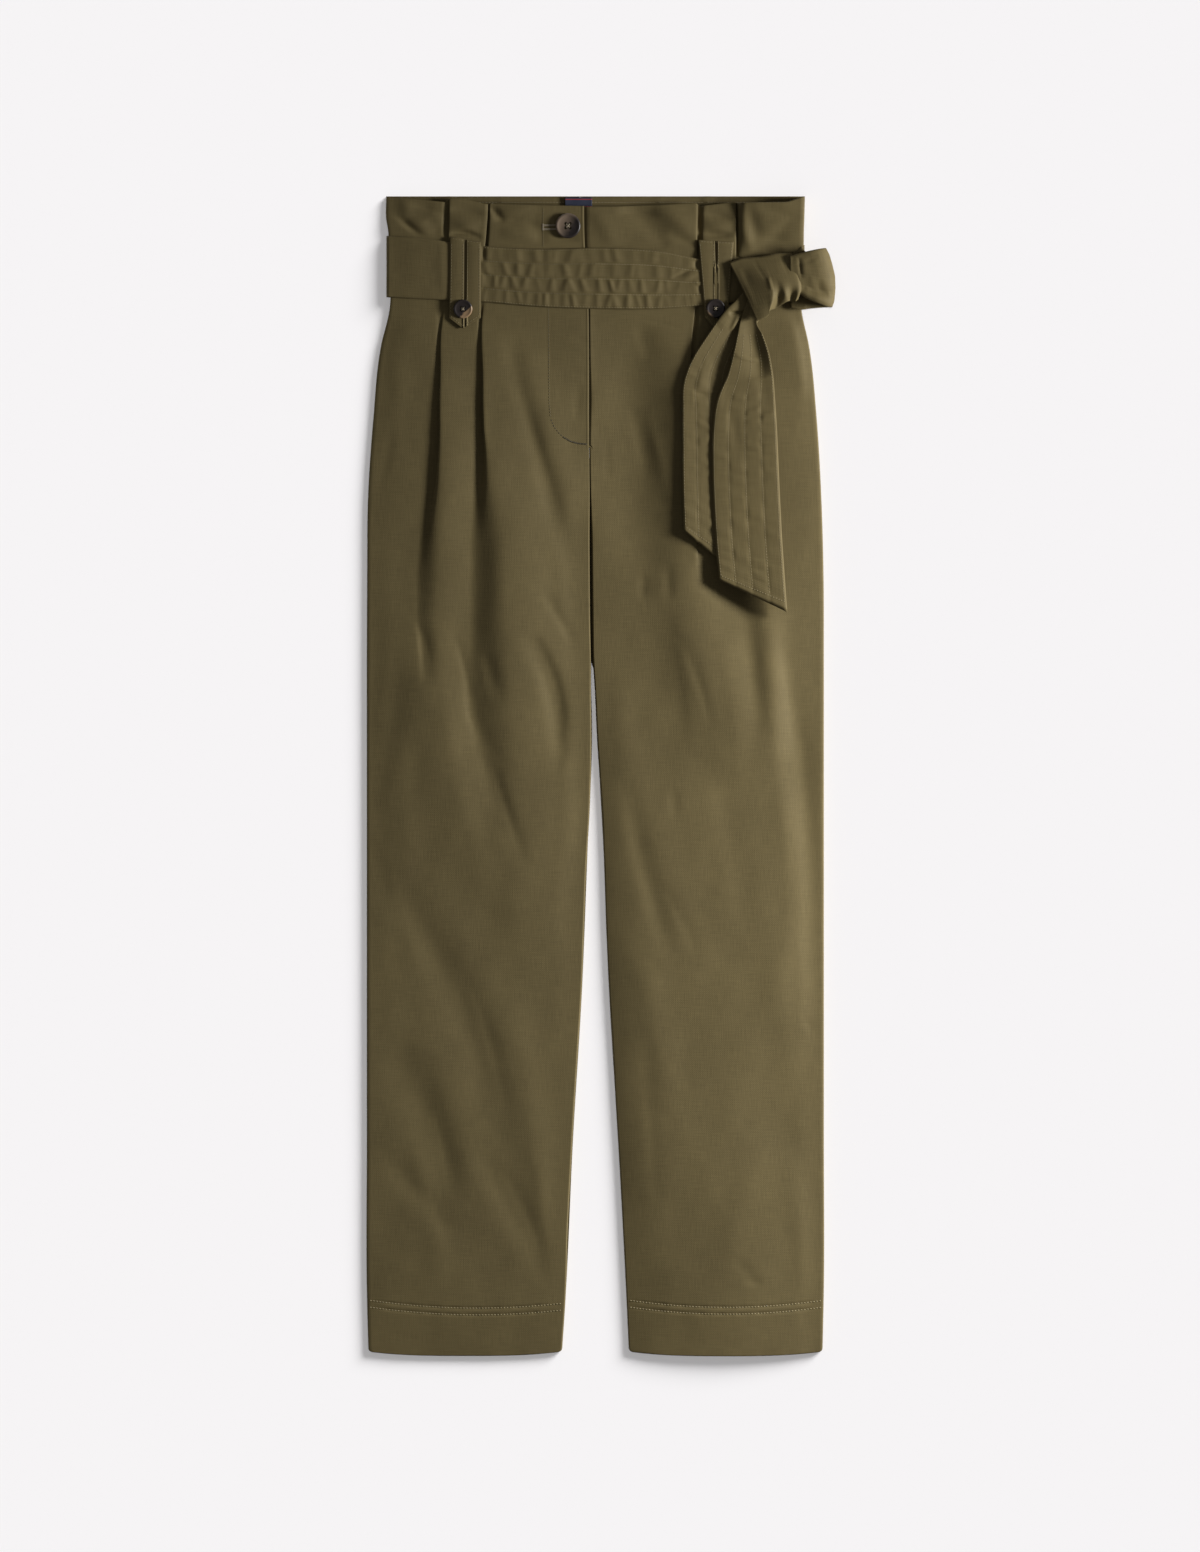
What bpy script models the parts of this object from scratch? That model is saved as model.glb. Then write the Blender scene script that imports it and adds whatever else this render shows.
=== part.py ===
"""Paperbag waist trousers with a quilted sash, lying flat with the front up.

The waist points along +Y, the wearer's right is at -X and the surface below is z = 0.
The origin lies below the middle of the outline. Sizes are in millimetres until the
points go into a mesh, which is in metres.
"""
import math

import bpy
import numpy as np

MM = 0.001

CLOTH = 1.2            # wall of the trouser cloth
SASH = 2.2             # quilted sash, two layers and a filler
CARRIER = 1.6          # folded cloth of a belt carrier
TAPE = 1.0             # woven tape inside the back waist
SEAM = 0.3             # space between two pieces at a seam
AIR = 0.5              # space between a piece and what it lies on

WAIST_Y = 522.0        # top edge of the back
HEM_Y = -518.5         # hem at its corners
HEM_BOW = 3.5          # how much lower the middle of a hem hangs
LEVEL = 6.2            # top of the front in the legs
PRESSED = 7.7          # top of the front below the sash
LAP = 12.0             # width of the left front below the right front's edge
LAP_DROP = CLOTH + AIR

BACK_FOLD = 1.5        # radius of the turn at the back's edges
SIDE_FOLD = 3.0        # radius of the turn at the front's edges
TIGHT_FOLD = 1.4       # the same below the sash and along the fly
LOWEST_FRONT = 2 * CLOTH + AIR

SASH_LOW = 420.0       # stretch over which the back lies on the sash's back run
SASH_HIGH = 491.0
SASH_RAMP = 22.0
SASH_LIFT = SASH + 0.4

OLIVE = (0.135, 0.105, 0.045)
HORN = (0.02, 0.012, 0.008)
NAVY = (0.02, 0.025, 0.05)


def table(names, rows):
    """Rows of numbers as one array for each named column."""
    return dict(zip(names.split(), np.array(rows, dtype=float).T))


# Edges and pleat lines of each front, from the waist down to the hem.
RIGHT = table("y outer side mid centre", [
    (522, -192.6, -136.8, -100.4, -14.4),
    (502, -192.6, -137.0, -100.5, -14.4),
    (491, -189.5, -137.3, -101.0, -14.2),
    (420, -189.5, -140.2, -106.2, -10.2),
    (388, -197.1, -143.1, -107.7, -9.9),
    (320, -204.3, -148.8, -111.8, -9.9),
    (254, -208.8, -153.9, -111.6, -9.6),
    (176, -209.7, -159.8, -106.2, -9.5),
    (108, -210.0, -162.0, -97.2, -8.7),
    (32, -210.0, -158.4, -88.2, -7.2),
    (-58, -210.0, -151.2, -84.6, -10.8),
    (-193, -210.0, -145.8, -83.7, -16.2),
    (-328, -210.0, -145.8, -84.5, -24.3),
    (-463, -210.0, -146.0, -86.0, -30.6),
    (-519, -208.6, -146.0, -87.0, -34.2),
])
LEFT = table("y outer side mid centre", [
    (522, 184.5, 123.3, 88.7, -14.4),
    (502, 184.0, 123.3, 88.7, -14.4),
    (491, 181.4, 123.4, 88.5, -14.2),
    (420, 181.4, 124.4, 86.8, -10.2),
    (388, 188.1, 127.8, 82.5, -9.9),
    (320, 195.3, 133.2, 83.7, -9.9),
    (254, 199.2, 135.0, 87.3, -8.1),
    (176, 201.4, 135.0, 93.6, -7.4),
    (108, 201.6, 135.5, 99.0, -5.8),
    (32, 201.6, 140.4, 99.0, -2.3),
    (-58, 201.6, 144.5, 94.5, 2.7),
    (-193, 201.6, 145.5, 90.0, 8.1),
    (-328, 201.6, 145.5, 90.0, 16.2),
    (-463, 201.6, 145.5, 90.0, 23.4),
    (-519, 200.4, 145.5, 91.0, 26.0),
])
CENTRE_BACK = table("y x", [(522, -18.0), (420, -14.0), (300, -9.8), (270, -9.3)])

# Height of the front, depth of the two pleats on each side and rise of the strip between.
RELIEF = table("y level side mid strip", [
    (522, 6.7, 2.6, 2.8, 1.8),
    (506, 7.0, 2.6, 2.8, 1.8),
    (489, PRESSED, 0.9, 1.0, 0.8),
    (480, PRESSED, 0.0, 0.0, 0.0),
    (416, PRESSED, 0.0, 0.0, 0.0),
    (404, 7.2, 3.4, 4.0, 1.2),
    (384, 6.7, 4.3, 5.0, 2.0),
    (340, 6.5, 4.7, 5.6, 2.6),
    (254, LEVEL, 4.3, 5.6, 2.6),
    (176, LEVEL, 3.2, 5.0, 2.2),
    (130, LEVEL, 1.4, 3.6, 1.4),
    (84, LEVEL, 0.0, 1.4, 0.3),
    (40, LEVEL, 0.0, 0.0, 0.0),
    (-522, 5.6, 0.0, 0.0, 0.0),
])
PLEAT_FLOOR = 1.2      # half width of a pleat's floor
PLEAT_REACH = 6.2      # from a pleat's line to the top of its slope

# Largest folds: start, end, sideways bow, width on either side and height.
FOLDS = table("x0 y0 x1 y1 bow west east height", [
    (-147, 165, -85, -150, -14, 36, 20, 4.4),
    (-60, 395, -44, 60, 0, 26, 22, 1.6),
    (-86, 397, -25, 181, 0, 6, 8, -1.4),
    (-68, 131, -34, 1, 10, 8, 8, -2.2),
    (-110, 140, -66, -85, -18, 8, 8, -2.2),
    (-193, -98, -84, -296, 18, 10, 12, -2.6),
    (-160, -190, -105, -400, 8, 15, 15, 1.9),
    (-176, -238, -126, -413, 10, 8, 9, -1.8),
    (-75, -180, -50, -420, 0, 17, 16, 1.5),
    (-99, -319, -45, -454, 5, 8, 8, -1.8),
    (-194, -337, -158, -436, 3, 8, 8, -1.4),
    (68, 402, 78, 200, 0, 32, 9, 3.0),
    (168, 390, 172, 170, 0, 16, 18, 1.6),
    (58, 199, 101, 37, -3, 8, 8, -2.2),
    (135, 150, 140, 37, 0, 7, 7, -2.4),
    (153, 150, 196, -195, 1, 13, 13, 3.6),
    (27, 1, 90, -166, -5, 8, 9, -1.8),
    (50, 60, 60, -120, 0, 22, 20, 1.6),
    (95, -210, 120, -410, 0, 26, 30, 2.6),
])

# How far the front's top edge lies below the back's.
TOP_EDGE = table("x drop", [
    (-193, 0.9), (-143, 0.9), (-137, 5.5), (-132, 3.0), (-104, 8.0), (-98, 8.5), (-13, 8.8),
    (54, 8.0), (86, 6.5), (90, 9.0), (121, 5.4), (126, 6.4), (168, 6.2), (179, 2.6), (185, 0.9),
])

FRONT_ROWS = (
    522, 512, 502, 491, 480, 450, 420, 410, 399, 384, 356, 326, 298, 288, 270, 252, 232, 206,
    176, 146, 116, 84, 50, 12, -28, -68, -110, -152, -196, -240, -286, -332, -378, -424, -466,
    -500, HEM_Y,
)
BACK_ROWS = (
    522, 510, 502, 491, 456, 420, 410, 398, 340, 288, 262, 240, 206, 150, 84, 12, -68, -152,
    -240, -332, -424, -490, HEM_Y,
)
FLY_END = 298          # the lap ends here, and the two fronts meet edge to edge below
CROTCH = 262           # the inner leg seams begin here
CROTCH_RUN = 46

SIDE_COLUMNS = 4       # steps from the side turn to the first pleat
CENTRE_COLUMNS = 7     # steps from the second pleat to the middle
PLEAT_STEPS = (-9.0, -5.2, -1.4, 1.4, 5.2, 9.0)
LAP_STEPS = (14.0, 1.5)
BACK_SHARES = (0.09, 0.25, 0.42, 0.58, 0.75, 0.91)
TURN_ANGLES = (0.0, 45.0)


def smooth(start, end, value):
    """Zero at start, one at end, with flat ends."""
    share = np.clip((value - start) / (end - start), 0.0, 1.0)
    return share * share * (3.0 - 2.0 * share)


def column(rows, name, y):
    """A table's column at the heights y, straight between its rows."""
    return np.interp(y, rows["y"][::-1], rows[name][::-1])


def sash_lift(y):
    """One where the back lies on the sash's back run, zero away from it."""
    above = smooth(SASH_HIGH + SASH_RAMP, SASH_HIGH, y)
    below = smooth(SASH_LOW - SASH_RAMP, SASH_LOW, y)
    return above * below


def pleat(distance, reach):
    """A trough with a flat floor and straight sides, one deep."""
    return np.clip((reach - np.abs(distance)) / (reach - PLEAT_FLOOR), 0.0, 1.0)


def between(start, stop, steps):
    """Places from start towards stop, which is left out."""
    return [start + (stop - start) * step / steps for step in range(steps)]


def spread(y):
    """How far the columns beside the pleat lines open out down the leg."""
    return 1.0 + 1.1 * smooth(150.0, -20.0, y)


def fold_relief(x, y):
    """Sum of the folds: a bell across each bowed line, fading to its ends."""
    total = np.zeros(np.broadcast(x, y).shape)
    for x0, y0, x1, y1, bow, west, east, height in zip(*FOLDS.values()):
        dx = x1 - x0
        dy = y1 - y0
        length = math.hypot(dx, dy)
        along = np.clip(((x - x0) * dx + (y - y0) * dy) / length ** 2, 0.0, 1.0)
        across = ((y - y0) * dx - (x - x0) * dy) / length
        across = across - bow * 4.0 * along * (1.0 - along)
        width = np.where(across < 0.0, west, east)
        total = total + height * np.sin(math.pi * along) ** 0.8 * np.exp(-(across / width) ** 2)
    return total


def front_height(x, y):
    """Top surface of the fronts, before their edges are turned down."""
    height = column(RELIEF, "level", y) + fold_relief(x, y) * (1.0 - sash_lift(y))
    for rows in (RIGHT, LEFT):
        side = column(rows, "side", y)
        mid = column(rows, "mid", y)
        middle = 0.5 * (side + mid)
        half = 0.5 * np.abs(side - mid)
        height = height + column(RELIEF, "strip", y) * smooth(half + 4.0, half - 4.0, np.abs(x - middle))
        height = height - column(RELIEF, "side", y) * pleat(x - side, PLEAT_REACH)
        height = height - column(RELIEF, "mid", y) * pleat(x - mid, PLEAT_REACH)
    floor = LOWEST_FRONT + SASH_LIFT * sash_lift(y)
    return np.maximum(height, floor)


def side_turn(y):
    """Radius and end height of the turn along a side seam."""
    lift = sash_lift(y)
    radius = SIDE_FOLD + (TIGHT_FOLD - SIDE_FOLD) * lift
    return radius, BACK_FOLD + SEAM + SASH_LIFT * lift


def edge_blend(x, edge, radius, run=26.0):
    """Zero at the turn of an edge, one further in."""
    return smooth(0.0, run, np.abs(x - edge) - radius)


def turned_edge(edge, radius, end, inward, up):
    """Outside and inside points round an edge, from its end to where the turn stops.

    inward is the sign of X away from the edge, up is 1 for a front and -1 for a back.
    """
    outside = []
    inside = []
    for angle in TURN_ANGLES:
        cos = math.cos(math.radians(angle))
        sin = math.sin(math.radians(angle))
        centre = edge + inward * radius
        outside.append((centre - inward * radius * cos, end + up * radius * sin))
        inner = radius - CLOTH
        inside.append((centre - inward * inner * cos, end + up * inner * sin))
    return outside, inside


def section_normals(x, z):
    """Unit normals of each row's section in the XZ plane, pointing up."""
    dx = np.gradient(x, axis=1)
    dz = np.gradient(z, axis=1)
    length = np.hypot(dx, dz) * np.sign(dx)
    return -dz / length, dx / length


def make_object(name, vertices, faces, colour, roughness):
    """One closed body with its faces outwards and its own material."""
    points = np.array(vertices)
    volume = 0.0
    for face in faces:
        for step in range(1, len(face) - 1):
            a, b, c = points[face[0]], points[face[step]], points[face[step + 1]]
            volume += np.dot(a, np.cross(b, c))
    if volume < 0.0:
        faces = [tuple(reversed(face)) for face in faces]
    mesh = bpy.data.meshes.new(name)
    mesh.from_pydata((points * MM).tolist(), [], faces)
    mesh.shade_smooth()
    mesh.set_sharp_from_angle(angle=math.radians(50.0))
    material = bpy.data.materials.new(name)
    material.use_nodes = True
    shader = material.node_tree.nodes["Principled BSDF"]
    shader.inputs["Base Color"].default_value = (*colour, 1.0)
    shader.inputs["Roughness"].default_value = roughness
    shader.inputs["Metallic"].default_value = 0.0
    mesh.materials.append(material)
    obj = bpy.data.objects.new(name, mesh)
    bpy.context.collection.objects.link(obj)
    return obj


def wall(name, outside, inside, colour=OLIVE, roughness=0.85):
    """A sheet of cloth between two grids of points, closed round its border."""
    rows, columns = outside.shape[:2]
    vertices = np.concatenate([outside.reshape(-1, 3), inside.reshape(-1, 3)])
    second = rows * columns

    def index(row, col):
        return row * columns + col

    faces = []
    for row in range(rows - 1):
        for col in range(columns - 1):
            ring = (index(row, col), index(row, col + 1), index(row + 1, col + 1), index(row + 1, col))
            faces.append(ring)
            faces.append(tuple(second + corner for corner in reversed(ring)))
    border = [index(0, col) for col in range(columns)]
    border += [index(row, columns - 1) for row in range(1, rows)]
    border += [index(rows - 1, col) for col in range(columns - 2, -1, -1)]
    border += [index(row, 0) for row in range(rows - 2, 0, -1)]
    for here, there in zip(border, border[1:] + border[:1]):
        faces.append((there, here, second + here, second + there))
    return make_object(name, vertices, faces, colour, roughness)


def grid(x, y, z):
    """Three arrays as one grid of points."""
    shape = np.broadcast(x, y, z).shape
    return np.stack([np.broadcast_to(part, shape) for part in (x, y, z)], axis=-1)


def surface_wall(name, top, thickness, colour=OLIVE, roughness=0.85, down=1.0):
    """A sheet below a free surface, as thick everywhere along its normals."""
    normals = np.cross(np.gradient(top, axis=1), np.gradient(top, axis=0))
    normals /= np.linalg.norm(normals, axis=2, keepdims=True)
    middle = normals[normals.shape[0] // 2, normals.shape[1] // 2]
    sign = down if middle[2] > 0.0 else -down
    return wall(name, top, top - sign * thickness * normals, colour, roughness)


def hem_drop(y, share):
    """The hem's middle hangs lower than its corners."""
    return HEM_BOW * smooth(-466.0, HEM_Y, y) * (1.0 - np.abs(2.0 * share - 1.0) ** 3)


def front_panel(name, rows, centre_edge, lapped):
    """One front, from the waist to the hem, with its edges turned down to the back's."""
    y = np.array(FRONT_ROWS, dtype=float)
    outer = column(rows, "outer", y)
    inward = 1.0 if outer[0] < 0.0 else -1.0
    side = column(rows, "side", y)
    mid = column(rows, "mid", y)
    turn = smooth(CROTCH, CROTCH - CROTCH_RUN, y)
    radius, end = side_turn(y)
    edge_level = end + radius
    centre_radius = TIGHT_FOLD + (SIDE_FOLD - TIGHT_FOLD) * turn

    pleat_reach = PLEAT_STEPS[-1] * spread(y)
    middle_end = centre_edge - inward * centre_radius
    lap_lines = []
    if lapped:
        line = np.maximum(column(RIGHT, "centre", y), middle_end + 1.0)
        lap_lines = [line + step for step in LAP_STEPS]
    stop = lap_lines[0] if lapped else middle_end
    xs = between(outer + inward * radius, side - inward * pleat_reach, SIDE_COLUMNS)
    xs += [side + inward * step * spread(y) for step in PLEAT_STEPS]
    xs += [0.5 * (side + mid)]
    xs += [mid + inward * step * spread(y) for step in PLEAT_STEPS]
    xs += between(mid + inward * pleat_reach, stop, CENTRE_COLUMNS)[1:]
    xs += lap_lines + [middle_end]
    x = np.stack(xs, axis=1)
    share = (x - outer[:, None]) / (centre_edge - outer)[:, None]
    edge_drop = np.interp(x, TOP_EDGE["x"], TOP_EDGE["drop"]) * smooth(496.0, WAIST_Y, y)[:, None]
    ys = y[:, None] - edge_drop - hem_drop(y[:, None], share)

    z = front_height(x, ys)
    if lapped:
        fly = column(RIGHT, "centre", y)[:, None]
        below = smooth(FLY_END - 28.0, FLY_END - 12.0, y)[:, None]
        z = z - LAP_DROP * below * smooth(fly + 14.0, fly + 1.0, x)
    blend = edge_blend(x, outer[:, None], radius[:, None])
    z = edge_level[:, None] + (z - edge_level[:, None]) * blend
    low_level = BACK_FOLD + SEAM + SIDE_FOLD
    inner_blend = 1.0 - turn[:, None] * (1.0 - edge_blend(x, centre_edge[:, None], centre_radius[:, None]))
    z = low_level + (z - low_level) * inner_blend

    nx, nz = section_normals(x, z)
    nx[:, (0, -1)] = 0.0
    nz[:, (0, -1)] = 1.0
    centre_end = z[:, -1] - centre_radius
    first = turned_edge(outer, radius, end, inward, 1.0)
    last = turned_edge(centre_edge, centre_radius, centre_end, -inward, 1.0)
    sides = []
    for face, (px, pz) in enumerate([(x, z), (x - CLOTH * nx, z - CLOTH * nz)]):
        ox = [point[0] for point in first[face]] + list(px.T) + [point[0] for point in reversed(last[face])]
        oz = [point[1] for point in first[face]] + list(pz.T) + [point[1] for point in reversed(last[face])]
        oy = [ys[:, 0]] * 2 + list(ys.T) + [ys[:, -1]] * 2
        sides.append(grid(np.stack(ox, axis=1), np.stack(oy, axis=1), np.stack(oz, axis=1)))
    return wall(name, sides[0], sides[1])


def back_panel(name, rows, inner_edge):
    """One back, flat on the surface but for the sash's run, its edges turned up."""
    y = np.array(BACK_ROWS, dtype=float)
    outer = column(rows, "outer", y)
    inward = 1.0 if outer[0] < 0.0 else -1.0
    lift = SASH_LIFT * sash_lift(y)
    end = lift + BACK_FOLD
    first = turned_edge(outer, BACK_FOLD, end, inward, -1.0)
    last = turned_edge(inner_edge, BACK_FOLD, end, -inward, -1.0)
    xs = [outer + inward * BACK_FOLD]
    xs += [outer + share * (inner_edge - outer) for share in BACK_SHARES]
    xs += [inner_edge - inward * BACK_FOLD]
    sides = []
    for face, rise in enumerate((0.0, CLOTH)):
        ox = [point[0] for point in first[face]] + xs + [point[0] for point in reversed(last[face])]
        oz = [point[1] for point in first[face]] + [lift + rise] * len(xs)
        oz += [point[1] for point in reversed(last[face])]
        x = np.stack(ox, axis=1)
        share = (x - outer[:, None]) / (inner_edge - outer)[:, None]
        ys = y[:, None] - hem_drop(y[:, None], share)
        sides.append(grid(x, ys, np.stack(oz, axis=1)))
    return wall(name, sides[0], sides[1])


def fly_edges():
    """Inner edge of each front: the left one runs below the right one down to the fly's end."""
    y = np.array(FRONT_ROWS, dtype=float)
    right = column(RIGHT, "centre", y)
    left = column(LEFT, "centre", y)
    left = np.where(y > FLY_END - 1.0, right - LAP, np.maximum(left, right + 2 * SEAM))
    return right, left


def back_edges():
    """Inner edge of each back: the seat seam, then the inner leg."""
    y = np.array(BACK_ROWS, dtype=float)
    seam = column(CENTRE_BACK, "x", y)
    open_leg = y < CROTCH
    right = np.where(open_leg, column(RIGHT, "centre", y), seam - 0.5 * SEAM)
    left = np.where(open_leg, column(LEFT, "centre", y), seam + 0.5 * SEAM)
    return right, left


# Sash: its two edges across the front.
SASH_EDGES = table("x high low", [
    (-192, 486.0, 431.1), (-162, 484.2, 429.3), (-133, 480.0, 427.9), (-107, 477.0, 426.6),
    (-54, 474.3, 422.1), (0, 475.2, 420.3), (54, 472.5, 420.3), (90, 465.3, 423.0),
    (117, 462.5, 425.7), (150, 462.0, 428.0), (186, 466.0, 430.2),
])
SASH_ROWS = (0.0, 0.12, 0.5, 0.88, 1.0)
SASH_PUFF = (0.0, 0.5, 0.7, 0.5, 0.0)
SASH_STEP = 17.0
SASH_SIDE_STEPS = (0.0, 5.0, 11.0, 18.0, 27.0)
SASH_AIR = 0.6


def sash_columns():
    """Places along the sash between its two side turns."""
    start = column(RIGHT, "outer", 450.0) + TIGHT_FOLD
    stop = column(LEFT, "outer", 450.0) - TIGHT_FOLD
    near = np.array(SASH_SIDE_STEPS)
    count = int(round((stop - start - 2 * near[-1]) / SASH_STEP))
    middle = np.linspace(start + near[-1], stop - near[-1], count)
    return np.concatenate([start + near[:-1], middle, stop - near[-2::-1]])


def sash_underside(x):
    """Height at which the front run of the sash lies on the pressed fronts."""
    end = BACK_FOLD + SEAM + SASH_LIFT
    edge_level = end + TIGHT_FOLD
    height = np.full(x.shape, PRESSED)
    for rows in (RIGHT, LEFT):
        blend = edge_blend(x, column(rows, "outer", 450.0), TIGHT_FOLD)
        height = edge_level + (height - edge_level) * blend
    return height + SASH_AIR


def sash_turn(centre, radius_out, radius_in, end, inward, up):
    """Outside and inside points round one side, beyond the end of the flat run."""
    outside = []
    inside = []
    for angle in (0.0, 30.0, 60.0):
        cos = math.cos(math.radians(angle))
        sin = math.sin(math.radians(angle))
        outside.append((centre - inward * radius_out * cos, end + up * radius_out * sin))
        inside.append((centre - inward * radius_in * cos, end + up * radius_in * sin))
    return outside, inside


def sash_front():
    """Front run of the sash, over the fronts and down round both sides."""
    x = sash_columns()
    under = sash_underside(x)
    end = BACK_FOLD + SEAM + SASH_LIFT
    inner = TIGHT_FOLD + SASH_AIR
    first = sash_turn(x[0], inner + SASH, inner, end, 1.0, 1.0)
    last = sash_turn(x[-1], inner + SASH, inner, end, -1.0, 1.0)
    grids = []
    for face, height in enumerate((under + SASH, under)):
        px = [p[0] for p in first[face]] + list(x) + [p[0] for p in reversed(last[face])]
        pz = [p[1] for p in first[face]] + list(height) + [p[1] for p in reversed(last[face])]
        px = np.array(px)
        high = np.interp(px, SASH_EDGES["x"], SASH_EDGES["high"])
        low = np.interp(px, SASH_EDGES["x"], SASH_EDGES["low"])
        share = np.array(SASH_ROWS)[:, None]
        puff = np.array(SASH_PUFF)[:, None] * (1 - face) - 0.5 * (1 - face)
        level = np.array(pz)[None, :] + puff * smooth(0.0, 6.0, np.array(pz) - end)[None, :]
        grids.append(grid(px[None, :], high + (low - high) * share, level))
    return wall("sash_front", grids[0], grids[1])


def sash_back():
    """Back run of the sash, flat on the surface and turned up at both sides."""
    start = column(RIGHT, "outer", 450.0) + BACK_FOLD
    stop = column(LEFT, "outer", 450.0) - BACK_FOLD
    x = np.linspace(start, stop, 6)
    end = SASH_LIFT + BACK_FOLD
    first = sash_turn(start, end, end - SASH, end, 1.0, -1.0)
    last = sash_turn(stop, end, end - SASH, end, -1.0, -1.0)
    grids = []
    for face, height in enumerate((0.0, SASH)):
        px = [p[0] for p in first[face]] + list(x) + [p[0] for p in reversed(last[face])]
        pz = [p[1] for p in first[face]] + [height] * len(x) + [p[1] for p in reversed(last[face])]
        px = np.array(px)
        high = np.interp(px, (start, stop), (486.0, 478.0))
        low = np.interp(px, (start, stop), (431.1, 427.0))
        share = np.linspace(0.0, 1.0, 3)[:, None]
        grids.append(grid(px[None, :], high + (low - high) * share, np.array(pz)[None, :]))
    return wall("sash_back", grids[0], grids[1])


# Belt carriers: top corners, lower corners and the tip of the point.
CARRIERS = {
    "carrier_right": {"top": (-135.0, -107.1), "low": (-135.9, -107.3), "low_y": 413.0,
                      "tip": (-123.5, 402.5)},
    "carrier_left": {"top": (87.3, 120.0), "low": (93.0, 116.0), "low_y": 414.5,
                     "tip": (101.5, 403.5)},
}
CARRIER_TOP = 485.6
CARRIER_CROWN = 0.3


def carrier_levels(shape):
    """Height of a carrier's underside: on the front, over the sash, on the front again."""
    x = np.linspace(shape["top"][0] - 2.0, shape["top"][1] + 2.0, 15)
    high = float(np.max(np.interp(x, SASH_EDGES["x"], SASH_EDGES["high"])))
    low = float(np.min(np.interp(x, SASH_EDGES["x"], SASH_EDGES["low"])))
    over = float(np.max(sash_underside(x))) + SASH + 0.2 + 0.4
    upper = float(np.max(front_height(x[:, None], np.linspace(WAIST_Y - 30.0, high, 6)[None, :])))
    lower = float(np.max(front_height(x[:, None], np.linspace(low, 396.0, 6)[None, :])))
    return table("y z", [
        (CARRIER_TOP, upper + AIR), (high + 2.6, over), (low - 1.6, over),
        (low - 5.5, 0.5 * (over + lower + AIR)), (low - 9.5, lower + AIR), (396.0, lower + AIR),
    ])


def carrier(name, shape):
    """A folded strip that holds the sash, cut to a point at its lower end."""
    levels = carrier_levels(shape)
    share = np.array((0.0, 0.25, 0.47, 0.53, 0.75, 1.0))
    crown = np.array((0.0, CARRIER_CROWN, -0.3, -0.3, CARRIER_CROWN, 0.0))
    fall = np.array((0.0, 0.04, 0.4, 0.8, 0.86, 0.92, 1.0))
    tip_x, tip_y = shape["tip"]
    rows = []
    for step in fall:
        left = shape["top"][0] + (shape["low"][0] - shape["top"][0]) * step
        right = shape["top"][1] + (shape["low"][1] - shape["top"][1]) * step
        y = CARRIER_TOP + (shape["low_y"] - CARRIER_TOP) * step
        x = left + (right - left) * share
        rows.append(np.stack([x, np.full(x.shape, y)], axis=1))
    x = shape["low"][0] + (shape["low"][1] - shape["low"][0]) * share
    tip_share = (tip_x - shape["low"][0]) / (shape["low"][1] - shape["low"][0])
    reach = np.interp(share, (0.0, tip_share, 1.0), (0.0, 1.0, 0.0))
    rows.append(np.stack([x, shape["low_y"] - 1.0 - (shape["low_y"] - 1.0 - tip_y) * reach], axis=1))
    plan = np.stack(rows)
    under = column(levels, "z", plan[:, :, 1])
    top = under + CARRIER + crown
    return wall(name, np.dstack([plan, top]), np.dstack([plan, under]))


def resting_height(x, y):
    """Highest point of the fronts near these points."""
    near = np.linspace(-5.0, 5.0, 3)
    return max(float(np.max(front_height(x + dx, y + dy))) for dx in near for dy in near)


# Tails: left and right edge of each section, and the height of its top at either edge.
# A height of 0 lets the section rest on what is below it.
SHORT_TAIL = table("lx ly rx ry lz rz", [
    (131.0, 437.0, 150.0, 423.0, 16.0, 15.0),
    (122.4, 428.4, 142.2, 408.6, 16.0, 14.4),
    (114.3, 419.4, 133.2, 394.2, 16.0, 13.2),
    (102.6, 401.4, 126.0, 379.8, 15.0, 12.6),
    (90.0, 374.4, 120.6, 360.0, 13.8, 12.6),
    (81.0, 351.9, 121.5, 342.0, 0.0, 0.0),
    (76.5, 329.4, 126.0, 324.0, 0.0, 0.0),
    (74.7, 293.4, 128.7, 291.6, 0.0, 0.0),
    (74.7, 257.4, 129.6, 252.0, 0.0, 0.0),
    (75.6, 220.5, 130.5, 176.4, 0.0, 0.0),
])
LONG_TAIL = table("lx ly rx ry lz rz", [
    (134.5, 434.0, 154.0, 430.0, 20.2, 20.0),
    (126.9, 412.0, 141.3, 410.0, 19.8, 19.6),
    (124.2, 392.4, 147.6, 392.4, 19.0, 19.0),
    (120.6, 374.4, 153.5, 374.4, 18.0, 18.0),
    (114.3, 356.4, 156.2, 354.6, 17.0, 17.0),
    (104.6, 336.0, 157.5, 336.0, 15.6, 15.6),
    (100.8, 308.0, 159.3, 308.0, 0.0, 0.0),
    (100.8, 266.4, 161.1, 266.4, 0.0, 0.0),
    (103.5, 212.4, 163.8, 212.4, 0.0, 0.0),
    (107.1, 176.4, 168.3, 147.2, 0.0, 0.0),
])
TAIL_SHARES = (0.0, 0.2, 0.5, 0.8, 1.0)
TAIL_RIM = (-0.4, 0.0, 0.2, 0.0, -0.4)


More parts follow.
